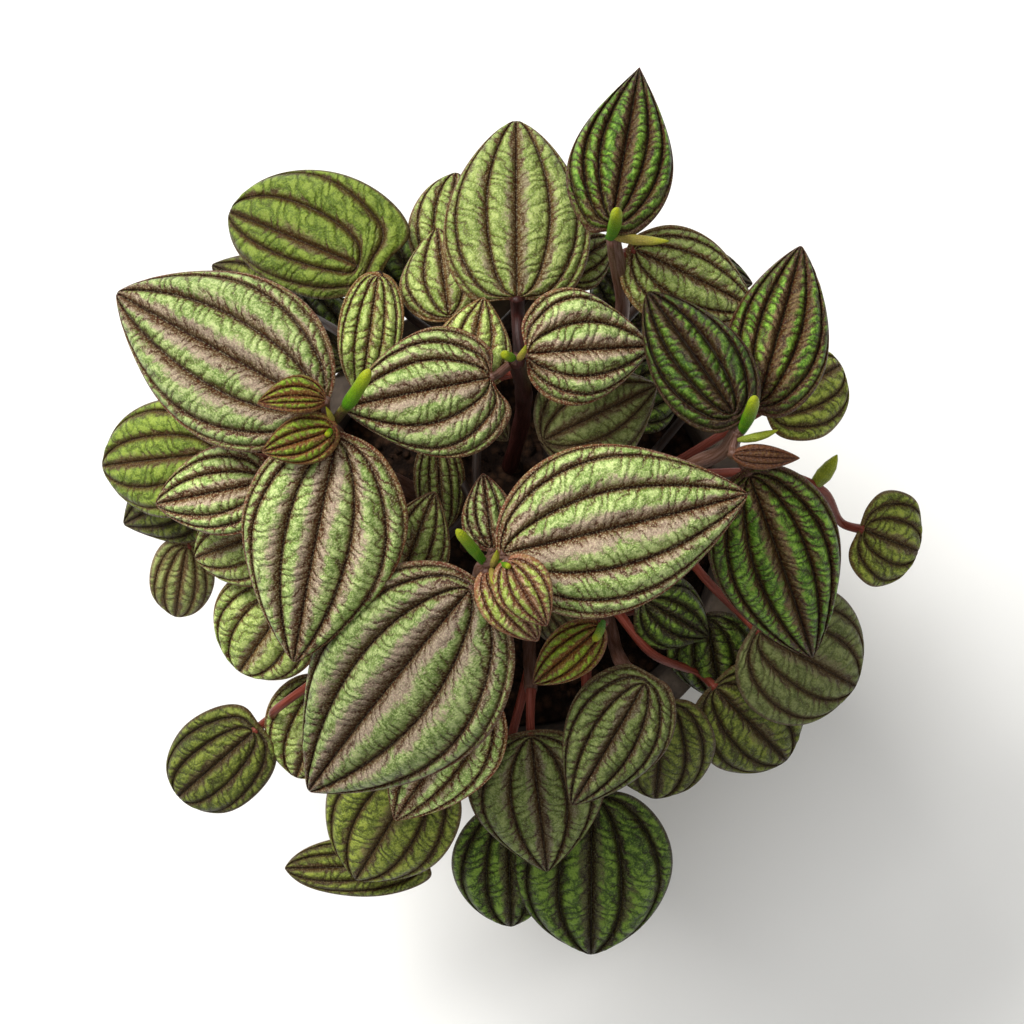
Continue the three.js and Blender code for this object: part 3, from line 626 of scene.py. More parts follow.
def leafMaterial(name, look):
    # Each band between two veins is brown beside its inner vein and green beyond. The brown
    # reaches out along dark barbs that leave the veins, covers more at the base and the tip, and
    # turns silvery away from both, partly the leaf's own silvery mauve and partly a painted sheen.
    # The green is palest half way between two barbs, a painted highlight on the crests of the
    # bulges, and a grain of pale specks, partly painted glints, lies over everything. The dark band
    # at each vein is partly painted shade in its groove.
    material, tree, shader = newMaterial(name)
    side, reach, _ = split(tree, surfaceMap(tree, "stripe"))
    gap, phase, _ = split(tree, surfaceMap(tree, "vein"))
    rim, share, _ = split(tree, surfaceMap(tree, "edge"))
    flat = surfaceMap(tree, "flat")
    light, sheenShare, brownShare = split(tree, tintOf(tree, "Vector"))
    broad = minus(tree, noise(tree, flat, 0.12, 2), 0.5)
    ragged = minus(tree, noise(tree, flat, 0.6, 3), 0.5)
    fine = minus(tree, noise(tree, flat, 1.7, 3, 0.8), 0.5)
    grit = cells(tree, flat, 1.8, "F1", 1.0, "2D")
    far = calc(tree, "ABSOLUTE", side)

    # millimetres from the nearest barb, where the phase is whole, and from a coarse net of veinlets
    wavy = total(tree, phase, times(tree, ragged, 0.7))
    cell = calc(tree, "ABSOLUTE", minus(tree, calc(tree, "FRACT", wavy), 0.5))
    barbGap = times(tree, minus(tree, 0.5, cell), look["ladder"])
    coarse = cells(tree, bent(tree, flat, 0.5, 3.0), 1 / look["net"], "DISTANCE_TO_EDGE", 0.9, "2D")
    netGap = times(tree, coarse, look["net"])
    inward = step(tree, far, 0.78, 0.95, 1.0, 0.4)  # outer veins are fainter
    reachOut = total(tree, gap, times(tree, ragged, 5.0), times(tree, broad, 4.0))
    reachOut = step(tree, reachOut, 4.2, 0.8, 0.2, 1.0)
    barb = total(tree, barbGap, times(tree, gap, 0.08), times(tree, fine, 0.5))
    barb = times(tree, step(tree, barb, 0.95, 0.1), reachOut)

    # the green, palest away from the barbs and the veins: a painted highlight on the crests of
    # the bulges, with random tone from noise
    nearest = calc(tree, "MINIMUM", barbGap, total(tree, netGap, 0.4))
    crestHighlight = step(tree, total(tree, nearest, times(tree, fine, 1.6)), 0.1, 1.5)
    crestHighlight = times(tree, crestHighlight, step(tree, gap, 0.2, 1.8, 0.45, 1.0))
    crestHighlight = total(tree, crestHighlight, times(tree, broad, 1.2), times(tree, fine, 0.8))
    colour = paint(tree, linear(*look["green"]), crestHighlight, look["light"])

    # the brown of the inner share of a band and of its outer end, silvery away from the veins:
    # partly the leaf's own silvery mauve, partly a painted sheen on the crests away from veins and barbs
    inner = total(tree, times(tree, brownShare, look["flush"]), times(tree, barb, 0.26),
                  times(tree, ragged, 0.5), times(tree, broad, 0.7), times(tree, fine, 0.55),
                  step(tree, far, 0.34, 0.1, 0.0, 0.14),
                  step(tree, reach, 0.42, 0.05, 0.0, 1.2 * look["flush"]),
                  step(tree, reach, 0.84, 1.0, 0.0, 0.9 * look["flush"]))
    inside = step(tree, minus(tree, share, inner), 0.16, -0.16)
    outside = total(tree, share, times(tree, ragged, 0.3), times(tree, barb, 0.06))
    flush = calc(tree, "MAXIMUM", inside, step(tree, outside, 0.86, 1.0, 0.0, 0.8))
    silver = total(tree, gap, times(tree, ragged, 2.4), times(tree, fine, 2.6))
    silver = times(tree, step(tree, silver, 0.3, 2.6), step(tree, barb, 0.1, 0.8, 1.0, 0.25),
                   sheenShare, look["sheen"])
    flushColour = paint(tree, linear(*look["brownColour"]), silver, look["sheenColour"])
    colour = blend(tree, times(tree, flush, 0.9), colour, flushColour)

    # the dark band at each vein, partly the vein's own brown and partly painted shade in its
    # groove, the barbs and veinlets, the vein itself and the margin
    band = total(tree, gap, times(tree, ragged, 1.1), times(tree, fine, 0.7))
    band = calc(tree, "DIVIDE", band, times(tree, brownShare, look["brown"]))
    band = times(tree, step(tree, band, 0.3, 2.0, 0.75, 0.0), inward)
    colour = paint(tree, colour, band, look["brownColour"])
    colour = paint(tree, colour, times(tree, barb, look["line"]), look["brownColour"])
    thin = step(tree, total(tree, barbGap, times(tree, fine, 0.3)), 0.34, 0.08)
    thinner = step(tree, total(tree, netGap, times(tree, fine, 0.3)), 0.45, 0.05, 0.0, 0.22)
    thin = calc(tree, "MAXIMUM", times(tree, thin, reachOut), thinner)
    colour = paint(tree, colour, times(tree, thin, look["line"]), look["core"])
    core = step(tree, total(tree, gap, times(tree, ragged, 0.2)), 0.08, 0.34, 0.9, 0.0)
    core = times(tree, core, inward)
    colour = paint(tree, colour, core, look["core"])
    margin = step(tree, total(tree, rim, times(tree, ragged, 0.7)), 0.3, 1.0, 0.9, 0.0)
    colour = paint(tree, colour, margin, look["rim"])

    # pale specks, partly the leaf's grain and partly painted glints of its cells' sparkle, and the
    # random grain and the leaf's light factor, painted light and painted shade, over everything
    specks = step(tree, total(tree, grit, times(tree, fine, -0.5)), 0.42, 0.05)
    colour = paint(tree, colour, times(tree, specks, 0.4 * look["grain"]), look["speck"])
    shade = total(tree, 0.96, times(tree, fine, 1.5 * look["grain"]), times(tree, broad, 0.3))
    # light is painted light and painted shade over the whole leaf, with part of its own tone
    shade = times(tree, shade, light)
    grey = tree.nodes.new("ShaderNodeCombineXYZ")
    for socket in grey.inputs:
        tree.links.new(shade, socket)
    colour = blend(tree, 1.0, colour, grey.outputs[0], "MULTIPLY")
    rough = total(tree, look["rough"], times(tree, fine, 0.2), times(tree, flush, -0.06))
    setShader(tree, shader, colour, rough, 0.24)

    pillow = times(tree, step(tree, barbGap, 0.0, 1.3), step(tree, gap, 0.0, 1.2), 0.28)
    netPillow = times(tree, step(tree, netGap, 0.0, 0.9), 0.1)
    bump(tree, shader, total(tree, pillow, netPillow, times(tree, fine, 0.26), times(tree, grit, -0.1),
                             times(tree, core, -0.15)))
    return material


undersideLook = {
    "green": (140, 148, 86), "flush": (140, 112, 76), "vein": (118, 60, 44), "rim": (104, 58, 42),
}


def undersideMaterial():
    # pale green with a reddish flush, and red veins that show through
    material, tree, shader = newMaterial("leafUnderside")
    gap, _, _ = split(tree, surfaceMap(tree, "vein"))
    rim, _, _ = split(tree, surfaceMap(tree, "edge"))
    flat = surfaceMap(tree, "flat")
    broad = noise(tree, flat, 0.2, 3)
    fine = noise(tree, flat, 2.5, 2)
    colour = paint(tree, linear(*undersideLook["green"]), step(tree, broad, 0.35, 0.65),
                   undersideLook["flush"])
    vein = step(tree, total(tree, gap, times(tree, fine, 0.5)), 0.3, 1.1, 0.8, 0.0)
    colour = paint(tree, colour, vein, undersideLook["vein"])
    colour = paint(tree, colour, step(tree, rim, 0.2, 0.8, 0.8, 0.0), undersideLook["rim"])
    setShader(tree, shader, colour, total(tree, 0.42, times(tree, fine, 0.16)))
    bump(tree, shader, total(tree, times(tree, vein, 0.3), times(tree, fine, 0.1)))
    return material


# Stems and petioles. The first colours are their skins: shade is painted shade, a dark skin for
# petioles that lie in the shade under the leaves, and the maroon skin is a dark red darkened with
# painted shade. reach is how far before the blade, in millimetres, the petiole turns up into it,
# and reachShare the most of its length that this takes.
# depth is how far a stem goes on below the soil's surface, also in millimetres. The stem's radius
# swells and narrows a little by a cosine that turns through swellTurn radians over its length.
petiole = {
    "red": (124, 60, 48), "maroon": (58, 27, 24), "mauve": (104, 78, 70), "shade": (44, 31, 25),
    "streak": (118, 96, 58), "speck": (74, 36, 32),
    "reach": 6, "reachShare": 0.4, "rise": 0.8, "outward": 0.6, "points": 36,
    "stemPoints": 40, "depth": 6, "swell": 0.06, "swellTurn": 22,
}


def stalkMaterial():
    # the tint attribute holds the colour; fine streaks run along, and specks lie over it
    material, tree, shader = newMaterial("leafStalk")
    flat = surfaceMap(tree, "flat")
    stretch = tree.nodes.new("ShaderNodeMapping")
    stretch.inputs["Scale"].default_value = (1.6, 0.12, 1)
    tree.links.new(flat, stretch.inputs["Vector"])
    streak = noise(tree, stretch.outputs[0], 1.2, 3)
    speck = noise(tree, flat, 2.2, 3)
    colour = blend(tree, step(tree, streak, 0.3, 0.7), tintOf(tree, "Color"), linear(*petiole["streak"]),
                   "SOFT_LIGHT")
    colour = paint(tree, colour, step(tree, speck, 0.62, 0.72, 0.0, 0.5), petiole["speck"])
    setShader(tree, shader, colour, total(tree, 0.36, times(tree, speck, 0.2)), 0.22)
    bump(tree, shader, total(tree, times(tree, streak, 0.12), times(tree, speck, 0.06)))
    return material


# Flower spikes and bracts. outline and bract are pairs of a share of the length and one of the
# radius, bow the millimetres by which the axis bows, and fade the share over which bare stalk ends.
spikeShape = {
    "outline": ((0, 0.75), (0.2, 0.85), (0.45, 1.0), (0.85, 0.9), (0.94, 0.68), (1.0, 0.3)),
    "bract": ((0, 0.45), (0.15, 0.8), (0.4, 1.0), (0.7, 0.8), (0.9, 0.4), (1.0, 0.1)),
    "green": (60, 122, 4), "tip": (168, 176, 24), "straw": (150, 128, 62), "lime": (120, 130, 40),
    "bare": (58, 28, 24), "between": (58, 84, 20), "yellow": (180, 190, 50),
    "bareRadius": 0.72, "fade": 0.08, "bow": (0.3, -0.3, 0), "points": 30,
}


def spikeAt(base, tip, radius, **more):
    return {"base": base, "tip": tip, "radius": radius, **more}


def spikeMaterial():
    # green that turns yellow at the end, under close rows of tiny buds
    material, tree, shader = newMaterial("flowerSpike")
    flat = surfaceMap(tree, "flat")
    buds = cells(tree, flat, 1.6, "F1", 0.5)
    broad = noise(tree, flat, 0.3, 2)
    colour = paint(tree, tintOf(tree, "Color"), step(tree, buds, 0.2, 0.7, 0.0, 0.35), spikeShape["between"])
    colour = paint(tree, colour, step(tree, broad, 0.5, 0.8, 0.0, 0.14), spikeShape["yellow"])
    setShader(tree, shader, colour, total(tree, 0.35, times(tree, broad, 0.15)), 0.25)
    bump(tree, shader, times(tree, buds, -0.25))
    return material


def leafyStem(stem):
    # the leaves in one piece, and the stem with its petioles and spikes in another
    looks = sorted({leaf["look"] for leaf in stem["leaves"]})
    patches = []
    for leaf in stem["leaves"]:
        look = leafLooks[leaf["look"]]
        seed = sum(ord(letter) * 7 ** power for power, letter in enumerate(leaf["name"])) % 97
        length = leafAxes(leaf)["length"]
        rows, perBand = next(grid[1:] for grid in leafGrids if length > grid[0])
        patches += leafPatches(leaf, look, seed, looks.index(leaf["look"]), len(looks), rows, perBand)
    title = "".join(word.capitalize() for word in stem["node"].split("_"))
    title = title[0].lower() + title[1:]
    leaves = buildMesh(title + "Leaves", patches, [leafTops[look] for look in looks] + [underside])
    stalks = buildMesh(title + "Stalks", stalkPatches(stem), [stalkSkin, spikeSkin])
    for piece in (leaves, stalks):
        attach(piece, "root")
        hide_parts(stem["node"])
    return leaves, stalks


def stalkPatches(stem):
    # the stem along its route from below the soil, then a petiole to each leaf, thicker at both
    # ends, that turns up into the blade from below, and the spikes
    route = np.array([place(spot) for spot in stem["route"]])
    foot = route[0] - (0, 0, petiole["depth"])
    rise = np.linspace(0, 1, petiole["stemPoints"])
    path = np.vstack([foot, curve(route, rise)])
    swell = stem["radius"] * (1 + petiole["swell"] * np.cos(rise * petiole["swellTurn"]))
    radii = np.concatenate([[stem["radius"]], swell])
    patches = [tube(path, radii, linear(*petiole[stem.get("skin", "mauve")]))]
    for leaf in stem["leaves"]:
        axes = leafAxes(leaf)
        start = curve(route, np.array([leaf["at"]]))[0]
        way = axes["base"] - start
        apart = np.linalg.norm(way)
        arrival = unit(axes["up"] * petiole["rise"] + way / apart * petiole["outward"])
        below = axes["base"] - arrival * min(petiole["reach"], petiole["reachShare"] * apart)
        spots = [start, *[place(spot) for spot in leaf["via"]], below, axes["base"]]
        t = np.linspace(0, 1, petiole["points"])
        radii = leaf["stalk"] * (1 + 0.35 * np.exp(-t * 12) + 0.25 * np.exp(-(1 - t) * 14))
        patches.append(tube(curve(spots, t), radii, linear(*petiole[leaf["skin"]])))
    return patches + [spikePatch(spike) for spike in stem.get("spikes", [])]


def spikePatch(spike):
    # The outline's radius is carried along an axis that bows a little. The first share of it is
    # bare stalk, thin and dark, and the end turns yellow. A bract is flatter and pointed.
    foot, tip = place(spike["base"]), place(spike["tip"])
    t = np.linspace(0, 1, spikeShape["points"])
    skin = spike.get("skin", "green")
    shares, radii = np.array(spikeShape["outline" if skin == "green" else "bract"]).T
    path = foot + (tip - foot) * t[:, None] + np.array(spikeShape["bow"]) * (4 * t * (1 - t))[:, None]
    bare = np.clip((spike.get("bare", 0) - t) / spikeShape["fade"], 0, 1)
    radius = spike["radius"] * np.interp(t, shares, radii)
    radius = radius * (1 - bare) + spike["radius"] * spikeShape["bareRadius"] * bare
    shade = np.outer(1 - t ** 3, linear(*spikeShape[skin])) + np.outer(t ** 3, linear(*spikeShape["tip"]))
    shade = shade * (1 - bare[:, None]) + bare[:, None] * np.array(linear(*spikeShape["bare"]))
    shade = np.repeat(np.vstack([shade[:1], shade, shade[-1:]]), bar["sides"] + 1, axis=0)
    return tube(path, radius, shade, slot=1)


# The stems, one by one.

# A leaf has its attachment (base), its tip and its full width in the plan. roll turns its left
# side up, in degrees. at is the place along the stem where its petiole leaves, from 0 at the
# soil to 1, and via is where the petiole passes. A spike has its foot, its end and its radius.

stemLeft = {
    "node": "stem_left",
    "route": [(446, 505, 97), (392, 480, 130), (348, 448, 158), (328, 427, 178)],
    "radius": 2.2,
    "leaves": [
        leafAt("A1", "silver", (318, 405, 174), (117, 293, 152), 175, skin="mauve", roll=-3, full=0.74,
               lobe=12),
        leafAt("A2", "silver", (337, 440, 175), (294, 662, 156), 168, skin="mauve", roll=3, skew=0.05,
               lobe=13, light=1.2),
        leafAt("A3", "young", (325, 400, 181), (257, 404, 182), 42, skin="mauve", roll=20, skew=-0.2,
               arch=0.2, lobe=3, light=1.1),
        leafAt("A4", "young", (333, 430, 180), (262, 452, 177), 52, skin="mauve", roll=-6, arch=0.14,
               lobe=8, light=1.1),
    ],
    "spikes": [
        spikeAt((335, 420, 177), (369, 370, 190), 1.7, bare=0.36),
        spikeAt((330, 427, 179), (326, 435, 183), 0.8),
        spikeAt((333, 424, 178), (326, 407, 183), 0.8, skin="straw"),
    ],
}
stemMiddle = {
    "node": "stem_middle",
    "skin": "maroon",
    "route": [(510, 466, 97), (522, 420, 125), (523, 385, 150), (516, 360, 170)],
    "radius": 2.1,
    "leaves": [
        leafAt("B1", "silver", (490, 378, 166), (342, 408, 165), 134, skin="mauve", roll=2, skew=0.08,
               lobe=24, notch=0.85, light=1.1),
        leafAt("B2", "silver", (527, 354, 168), (651, 347, 158), 120, skin="mauve", roll=-3, skew=0.08,
               lobe=10, notch=0.85, light=1.2, brown=1.1),
        leafAt("B3", "pale", (517, 297, 150), (516, 121, 136), 148, skin="maroon", at=0.7, stalk=1.7,
               full=0.62, lobe=18, notch=0.85),
        leafAt("B4", "pale", (465, 385, 157), (484, 297, 157), 82, at=0.85, lobe=8, light=1.6),
    ],
    "spikes": [
        spikeAt((514, 358, 169), (502, 353, 174), 1.2),
        spikeAt((516, 361, 169), (526, 345, 174), 0.9, skin="straw"),
    ],
}
stemBack = {
    "node": "stem_back",
    "route": [(560, 450, 97), (600, 375, 125), (622, 312, 150), (613, 237, 180)],
    "radius": 1.9,
    "leaves": [
        leafAt("C1", "vivid", (612, 222, 182), (639.5, 67.5, 166), 107, skew=0.02, full=1.0, lobe=26,
               notch=0.6, light=0.95, brown=1.2),
        leafAt("C2", "pale", (635, 250, 168), (756, 310, 152), 102, at=0.9, roll=-4, skew=-0.12, lobe=12,
               light=1.25),
        leafAt("C3", "vivid", (690, 270, 142), (752, 284, 132), 50, skin="shade", at=0.6, lobe=8),
        leafAt("C4", "pale", (560, 272, 136), (613, 238, 130), 64, skin="shade", at=0.5, lobe=8),
        leafAt("C5", "deep", (640, 322, 118), (596, 262, 112), 70, skin="shade", at=0.35, lobe=8),
    ],
    "spikes": [
        spikeAt((610, 238, 179), (617, 209, 195), 1.6),
        spikeAt((613, 237, 181), (669, 241, 184), 1.3, skin="straw"),
    ],
}
stemRight = {
    "node": "stem_right",
    "route": [(600, 516, 97), (645, 490, 130), (695, 464, 162), (727, 448, 175), (738, 430, 180)],
    "radius": 1.9,
    "leaves": [
        leafAt("D1", "vivid", (733, 413, 182), (647.5, 292, 172), 100, skin="mauve", roll=4, skew=0,
               full=0.7, lobe=18, light=0.55, brown=1.2),
        leafAt("D2", "vivid", (758, 402, 171), (801, 246, 156), 106, skin="mauve", at=0.96, roll=3,
               skew=-0.06, lobe=17, light=1.12, sheen=1.2, brown=1.5),
        leafAt("D3", "vivid", (749, 476, 163), (812, 657, 132), 136, skin="mauve", at=0.93, roll=-3,
               lobe=12, light=1.05),
        leafAt("D4", "scorched", (733, 455, 181), (800, 458, 180), 26, skin="mauve", roll=10, arch=0.1,
               lobe=2, light=1.2),
    ],
    "spikes": [
        spikeAt((741, 431, 179), (755, 397, 195), 1.6),
        spikeAt((738, 440, 181), (778, 430, 186), 1.1, skin="lime"),
    ],
}
stemFront = {
    "node": "stem_front",
    "route": [(500, 560, 97), (478, 585, 130), (480, 580, 158), (486, 564, 182)],
    "radius": 2.3,
    "leaves": [
        leafAt("E1", "silver", (505, 553, 177), (748, 494, 171), 174, skin="mauve", roll=3, lobe=12,
               light=1.2),
        leafAt("E2", "silver", (470, 590, 173), (309, 791, 140), 206, skin="mauve", roll=9, skew=0.05,
               lobe=18, light=0.8),
        leafAt("E3", "rosy", (509, 562, 187), (547, 626, 184), 60, skin="mauve", roll=8, arch=0.14,
               lobe=7, light=1.4),
        leafAt("E4", "rosy", (487, 573, 182), (538, 641, 176), 62, skin="mauve", roll=-8, arch=0.16,
               lobe=7, light=1.4),
        leafAt("E5", "silver", (493, 548, 160), (483, 473, 158), 56, skin="mauve", at=0.8, lobe=5),
    ],
    "spikes": [
        spikeAt((483, 561, 182), (457, 530, 192), 1.4),
        spikeAt((500, 562, 185), (509, 566, 190), 0.8),
        spikeAt((491, 567, 182), (497, 550, 188), 1.0, skin="straw"),
        spikeAt((491, 567, 182), (493, 584, 187), 1.0, skin="straw"),
    ],
}
stemBud = {
    "node": "stem_bud",
    "route": [(560, 585, 97), (588, 606, 125), (603, 622, 160)],
    "radius": 1.6,
    "leaves": [
        leafAt("F1", "young", (600, 627, 160), (533, 684, 152), 54, arch=0.12, lobe=5, light=1.3),
        leafAt("F2", "dull", (545, 608, 141), (576, 648, 135), 42, at=0.6, lobe=5),
    ],
    "spikes": [
        spikeAt((603, 620, 159), (594, 640, 167), 1.1),
    ],
}
stemFrontRight = {
    "node": "stem_front_right",
    "route": [(603, 596, 97), (618, 655, 122), (640, 680, 156)],
    "radius": 1.8,
    "leaves": [
        leafAt("G1", "pale", (644, 684, 160), (572, 805, 146), 106, lobe=20, notch=0.4, light=0.52),
        leafAt("G2", "olive", (664, 704, 128), (655, 798, 114), 112, at=0.6, round=0.7, lobe=8),
    ],
}
lowBackLeft = {
    "node": "low_back_left",
    "route": [(452, 452, 97), (430, 410, 112), (415, 385, 120)],
    "radius": 1.6,
    "leaves": [
        leafAt("L1", "grass", (357, 265, 130), (230, 212, 118), 130, skin="shade", skew=-0.22, round=0.35,
               full=0.52, lobe=28, notch=0.1, light=0.76),
        leafAt("H1", "deep", (347, 361, 107), (299, 290, 98), 82, skin="shade", lobe=8),
        leafAt("L26", "olive", (288, 302, 112), (212, 265, 104), 72, skin="shade", via=[(345, 336, 122)],
               lobe=8),
    ],
}
lowBack = {
    "node": "low_back",
    "route": [(486, 434, 97), (476, 390, 108), (470, 355, 116)],
    "radius": 1.6,
    "leaves": [
        leafAt("L2", "pale", (378, 276, 138), (361, 398, 132), 66, skin="shade", via=[(412, 318, 117)],
               round=0.4, lobe=6, light=1.5, brown=0.6),
        leafAt("L3a", "pale", (448, 272, 124), (456, 173, 114), 88, skin="shade", round=0.5, lobe=8,
               light=1.15),
        leafAt("L3b", "pale", (449, 316, 133), (437, 228, 125), 92, skin="shade", lobe=8, light=1.25),
        leafAt("L28", "deep", (425, 292, 106), (376, 222, 98), 84, skin="shade", lobe=8, light=0.8),
        leafAt("H2", "olive", (530, 288, 120), (540, 200, 111), 80, skin="shade", lobe=8),
    ],
}
lowLeft = {
    "node": "low_left",
    "route": [(408, 500, 97), (390, 486, 108), (375, 476, 116)],
    "radius": 1.6,
    "leaves": [
        leafAt("L4a", "grass", (215, 453, 132), (103, 466, 114), 120, round=0.5, full=0.7, lobe=12,
               light=0.95),
        leafAt("L4b", "olive", (212, 480, 115), (124, 524, 101), 96, lobe=10),
        leafAt("J1", "olive", (300, 430, 114), (215, 400, 108), 90, lobe=8),
    ],
}
lowLeftFront = {
    "node": "low_left_front",
    "route": [(424, 552, 97), (395, 538, 112), (360, 520, 132)],
    "radius": 1.7,
    "leaves": [
        leafAt("L5a", "silver", (266, 482, 150), (156, 504, 140), 92, full=0.7, lobe=10, light=1.4),
        leafAt("L5b", "pale", (285, 524, 137), (196, 558, 124), 98, round=0.4, full=0.7, lobe=8,
               light=1.3),
        leafAt("L6", "dull", (187, 547, 105), (176, 616, 92), 66, at=0.4, via=[(275, 548, 116)],
               round=0.8, lobe=10, light=2.0),
    ],
}
lowFrontLeft = {
    "node": "low_front_left",
    "route": [(452, 590, 97), (415, 612, 110), (385, 628, 120)],
    "radius": 1.6,
    "leaves": [
        leafAt("L7", "pale", (293, 595, 124), (240, 671, 110), 116, skew=-0.07, round=0.8, lobe=14,
               light=1.45, brown=0.7),
        leafAt("L8", "olive", (253, 732, 101), (179, 796, 90), 100,
               via=[(322, 676, 120), (278, 708, 113)], skew=0, round=1, lobe=14),
        leafAt("L9", "pale", (331, 686, 106), (296, 777, 98), 104, at=0.5, via=[(360, 680, 110)],
               round=0.7, lobe=8, light=1.2),
    ],
}
lowFront = {
    "node": "low_front",
    "route": [(490, 612, 97), (474, 655, 112), (468, 672, 122)],
    "radius": 1.7,
    "leaves": [
        leafAt("L10", "olive", (425, 765, 124), (356, 879, 106), 138, skew=-0.07, round=0.5, lobe=12,
               light=1.55),
        leafAt("L11", "olive", (411, 864, 99), (285, 868, 92), 62, at=0.6, via=[(420, 750, 113)],
               round=0.6, lobe=26, light=1.3),
        leafAt("L12", "silver", (480, 690, 142), (395, 820, 127), 116, lobe=8, light=2.0),
    ],
}
lowFrontMiddle = {
    "node": "low_front_middle",
    "route": [(528, 622, 97), (530, 660, 112), (531, 690, 122)],
    "radius": 1.7,
    "leaves": [
        leafAt("L13", "pale", (531, 737, 130), (547, 871, 112), 140, lobe=10, light=0.62),
        leafAt("L14", "deep", (508, 812, 101), (511, 926, 88), 110, at=0.6, via=[(508, 755, 114)],
               skew=-0.06, round=0.8, full=1.0, lobe=8, light=1.2),
    ],
}
lowFrontRight = {
    "node": "low_front_right",
    "route": [(562, 604, 97), (578, 640, 108), (586, 668, 116)],
    "radius": 1.6,
    "leaves": [
        leafAt("L15", "deep", (591, 798, 108), (591, 954, 90), 160, via=[(587, 740, 116)], skew=0.03,
               round=0.5, lobe=10, light=0.95),
    ],
}
lowRightFront = {
    "node": "low_right_front",
    "route": [(585, 552, 97), (604, 586, 114), (618, 612, 124)],
    "radius": 1.7,
    "leaves": [
        leafAt("L17", "olive", (716, 688, 114), (786, 760, 100), 120, via=[(650, 652, 124)], skew=0.06,
               round=0.7, lobe=8),
        leafAt("L25", "deep", (645, 600, 128), (708, 636, 118), 76, lobe=8),
        leafAt("L27", "deep", (706, 618, 117), (722, 702, 105), 92, lobe=8),
    ],
}
lowRight = {
    "node": "low_right",
    "route": [(602, 478, 97), (630, 476, 112), (654, 476, 126)],
    "radius": 1.7,
    "leaves": [
        leafAt("L18", "dull", (760, 633, 122), (855, 686, 108), 146, via=[(691, 560, 130)], round=0.8,
               lobe=14, light=1.0),
        leafAt("L19", "olive", (864, 530, 108), (917, 551, 99), 100,
               via=[(780, 474, 130), (822, 490, 123)], round=1, lobe=8, light=1.7),
        leafAt("L20", "olive", (768, 407, 140), (840, 365, 128), 100, skew=-0.08, round=0.9, lobe=8,
               light=2.0),
        leafAt("H3", "deep", (745, 538, 117), (815, 575, 110), 80, lobe=8),
        leafAt("Q1", "olive", (735, 360, 116), (800, 320, 108), 80, skin="shade", at=0.6, lobe=8),
    ],
    "spikes": [
        spikeAt((813, 486, 124), (837, 455, 130), 2.1, skin="lime"),
    ],
}
lowInnerRight = {
    "node": "low_inner_right",
    "route": [(550, 490, 97), (549, 468, 120), (548, 457, 138)],
    "radius": 1.6,
    "leaves": [
        leafAt("L22", "dull", (545, 440, 147), (657, 385, 146), 116, skin="shade", lobe=8, light=1.3),
        leafAt("R1", "deep", (618, 408, 121), (686, 372, 114), 80, skin="shade", at=0.6, lobe=8),
    ],
}
lowInnerLeft = {
    "node": "low_inner_left",
    "route": [(466, 546, 97), (470, 525, 118), (475, 508, 136)],
    "radius": 1.6,
    "leaves": [
        leafAt("L29", "pale", (397, 588, 148), (435, 491, 150), 78, skin="shade", lobe=6),
        leafAt("L23", "pale", (437, 440, 136), (443, 534, 130), 52, skin="shade", round=0.4, lobe=5),
        leafAt("L30", "dull", (482, 410, 139), (508, 441, 137), 36, skin="shade", lobe=4),
    ],
}


# Pot and soil.

pot = {
    "height": 105, "baseRadius": 42, "rimRadius": 61, "wall": 4.6, "floor": 7, "collarHeight": 24,
    "collarStep": 3.2, "edge": 1.4, "edgeCuts": 6, "drainRadius": 5, "sides": 160, "wallCuts": 4,
    # clay and dark are partly the clay's own browns, partly painted shade for the pot seen between the leaves
    "clay": (60, 48, 40), "pale": (104, 92, 80), "dark": (42, 33, 28), "grit": (32, 26, 22),
}


def innerRadius(height):
    # the body widens evenly from its base towards the rim, less the collar's step and the wall
    widening = pot["rimRadius"] - pot["collarStep"] - pot["baseRadius"]
    return pot["baseRadius"] + height / pot["height"] * widening - pot["wall"]


def roundedOutline(corners, radius, cuts):
    # each corner becomes a quadratic curve between points at the radius before and after it
    corners = np.array(corners, dtype=float)
    before, after = np.roll(corners, 1, axis=0), np.roll(corners, -1, axis=0)
    cut = lambda other: corners + unit(other - corners) * np.minimum(
        radius, 0.45 * np.linalg.norm(other - corners, axis=1, keepdims=True))
    t = np.linspace(0, 1, cuts)[None, :, None]
    first, last = cut(before)[:, None], cut(after)[:, None]
    return ((1 - t) ** 2 * first + 2 * t * (1 - t) * corners[:, None] + t ** 2 * last).reshape(-1, 2)


def turned(outline, sides):
    # a closed outline of radius and height turned round the upright axis
    outline = np.vstack([outline, outline[:1]])
    turn = np.linspace(0, 2 * np.pi, sides + 1)[None]
    radius, height = outline[:, :1], outline[:, 1:]
    points = np.stack(np.broadcast_arrays(radius * np.cos(turn), radius * np.sin(turn), height), axis=-1)
    return points, gridCorners(roundIds(points.shape[:2], poles=False))


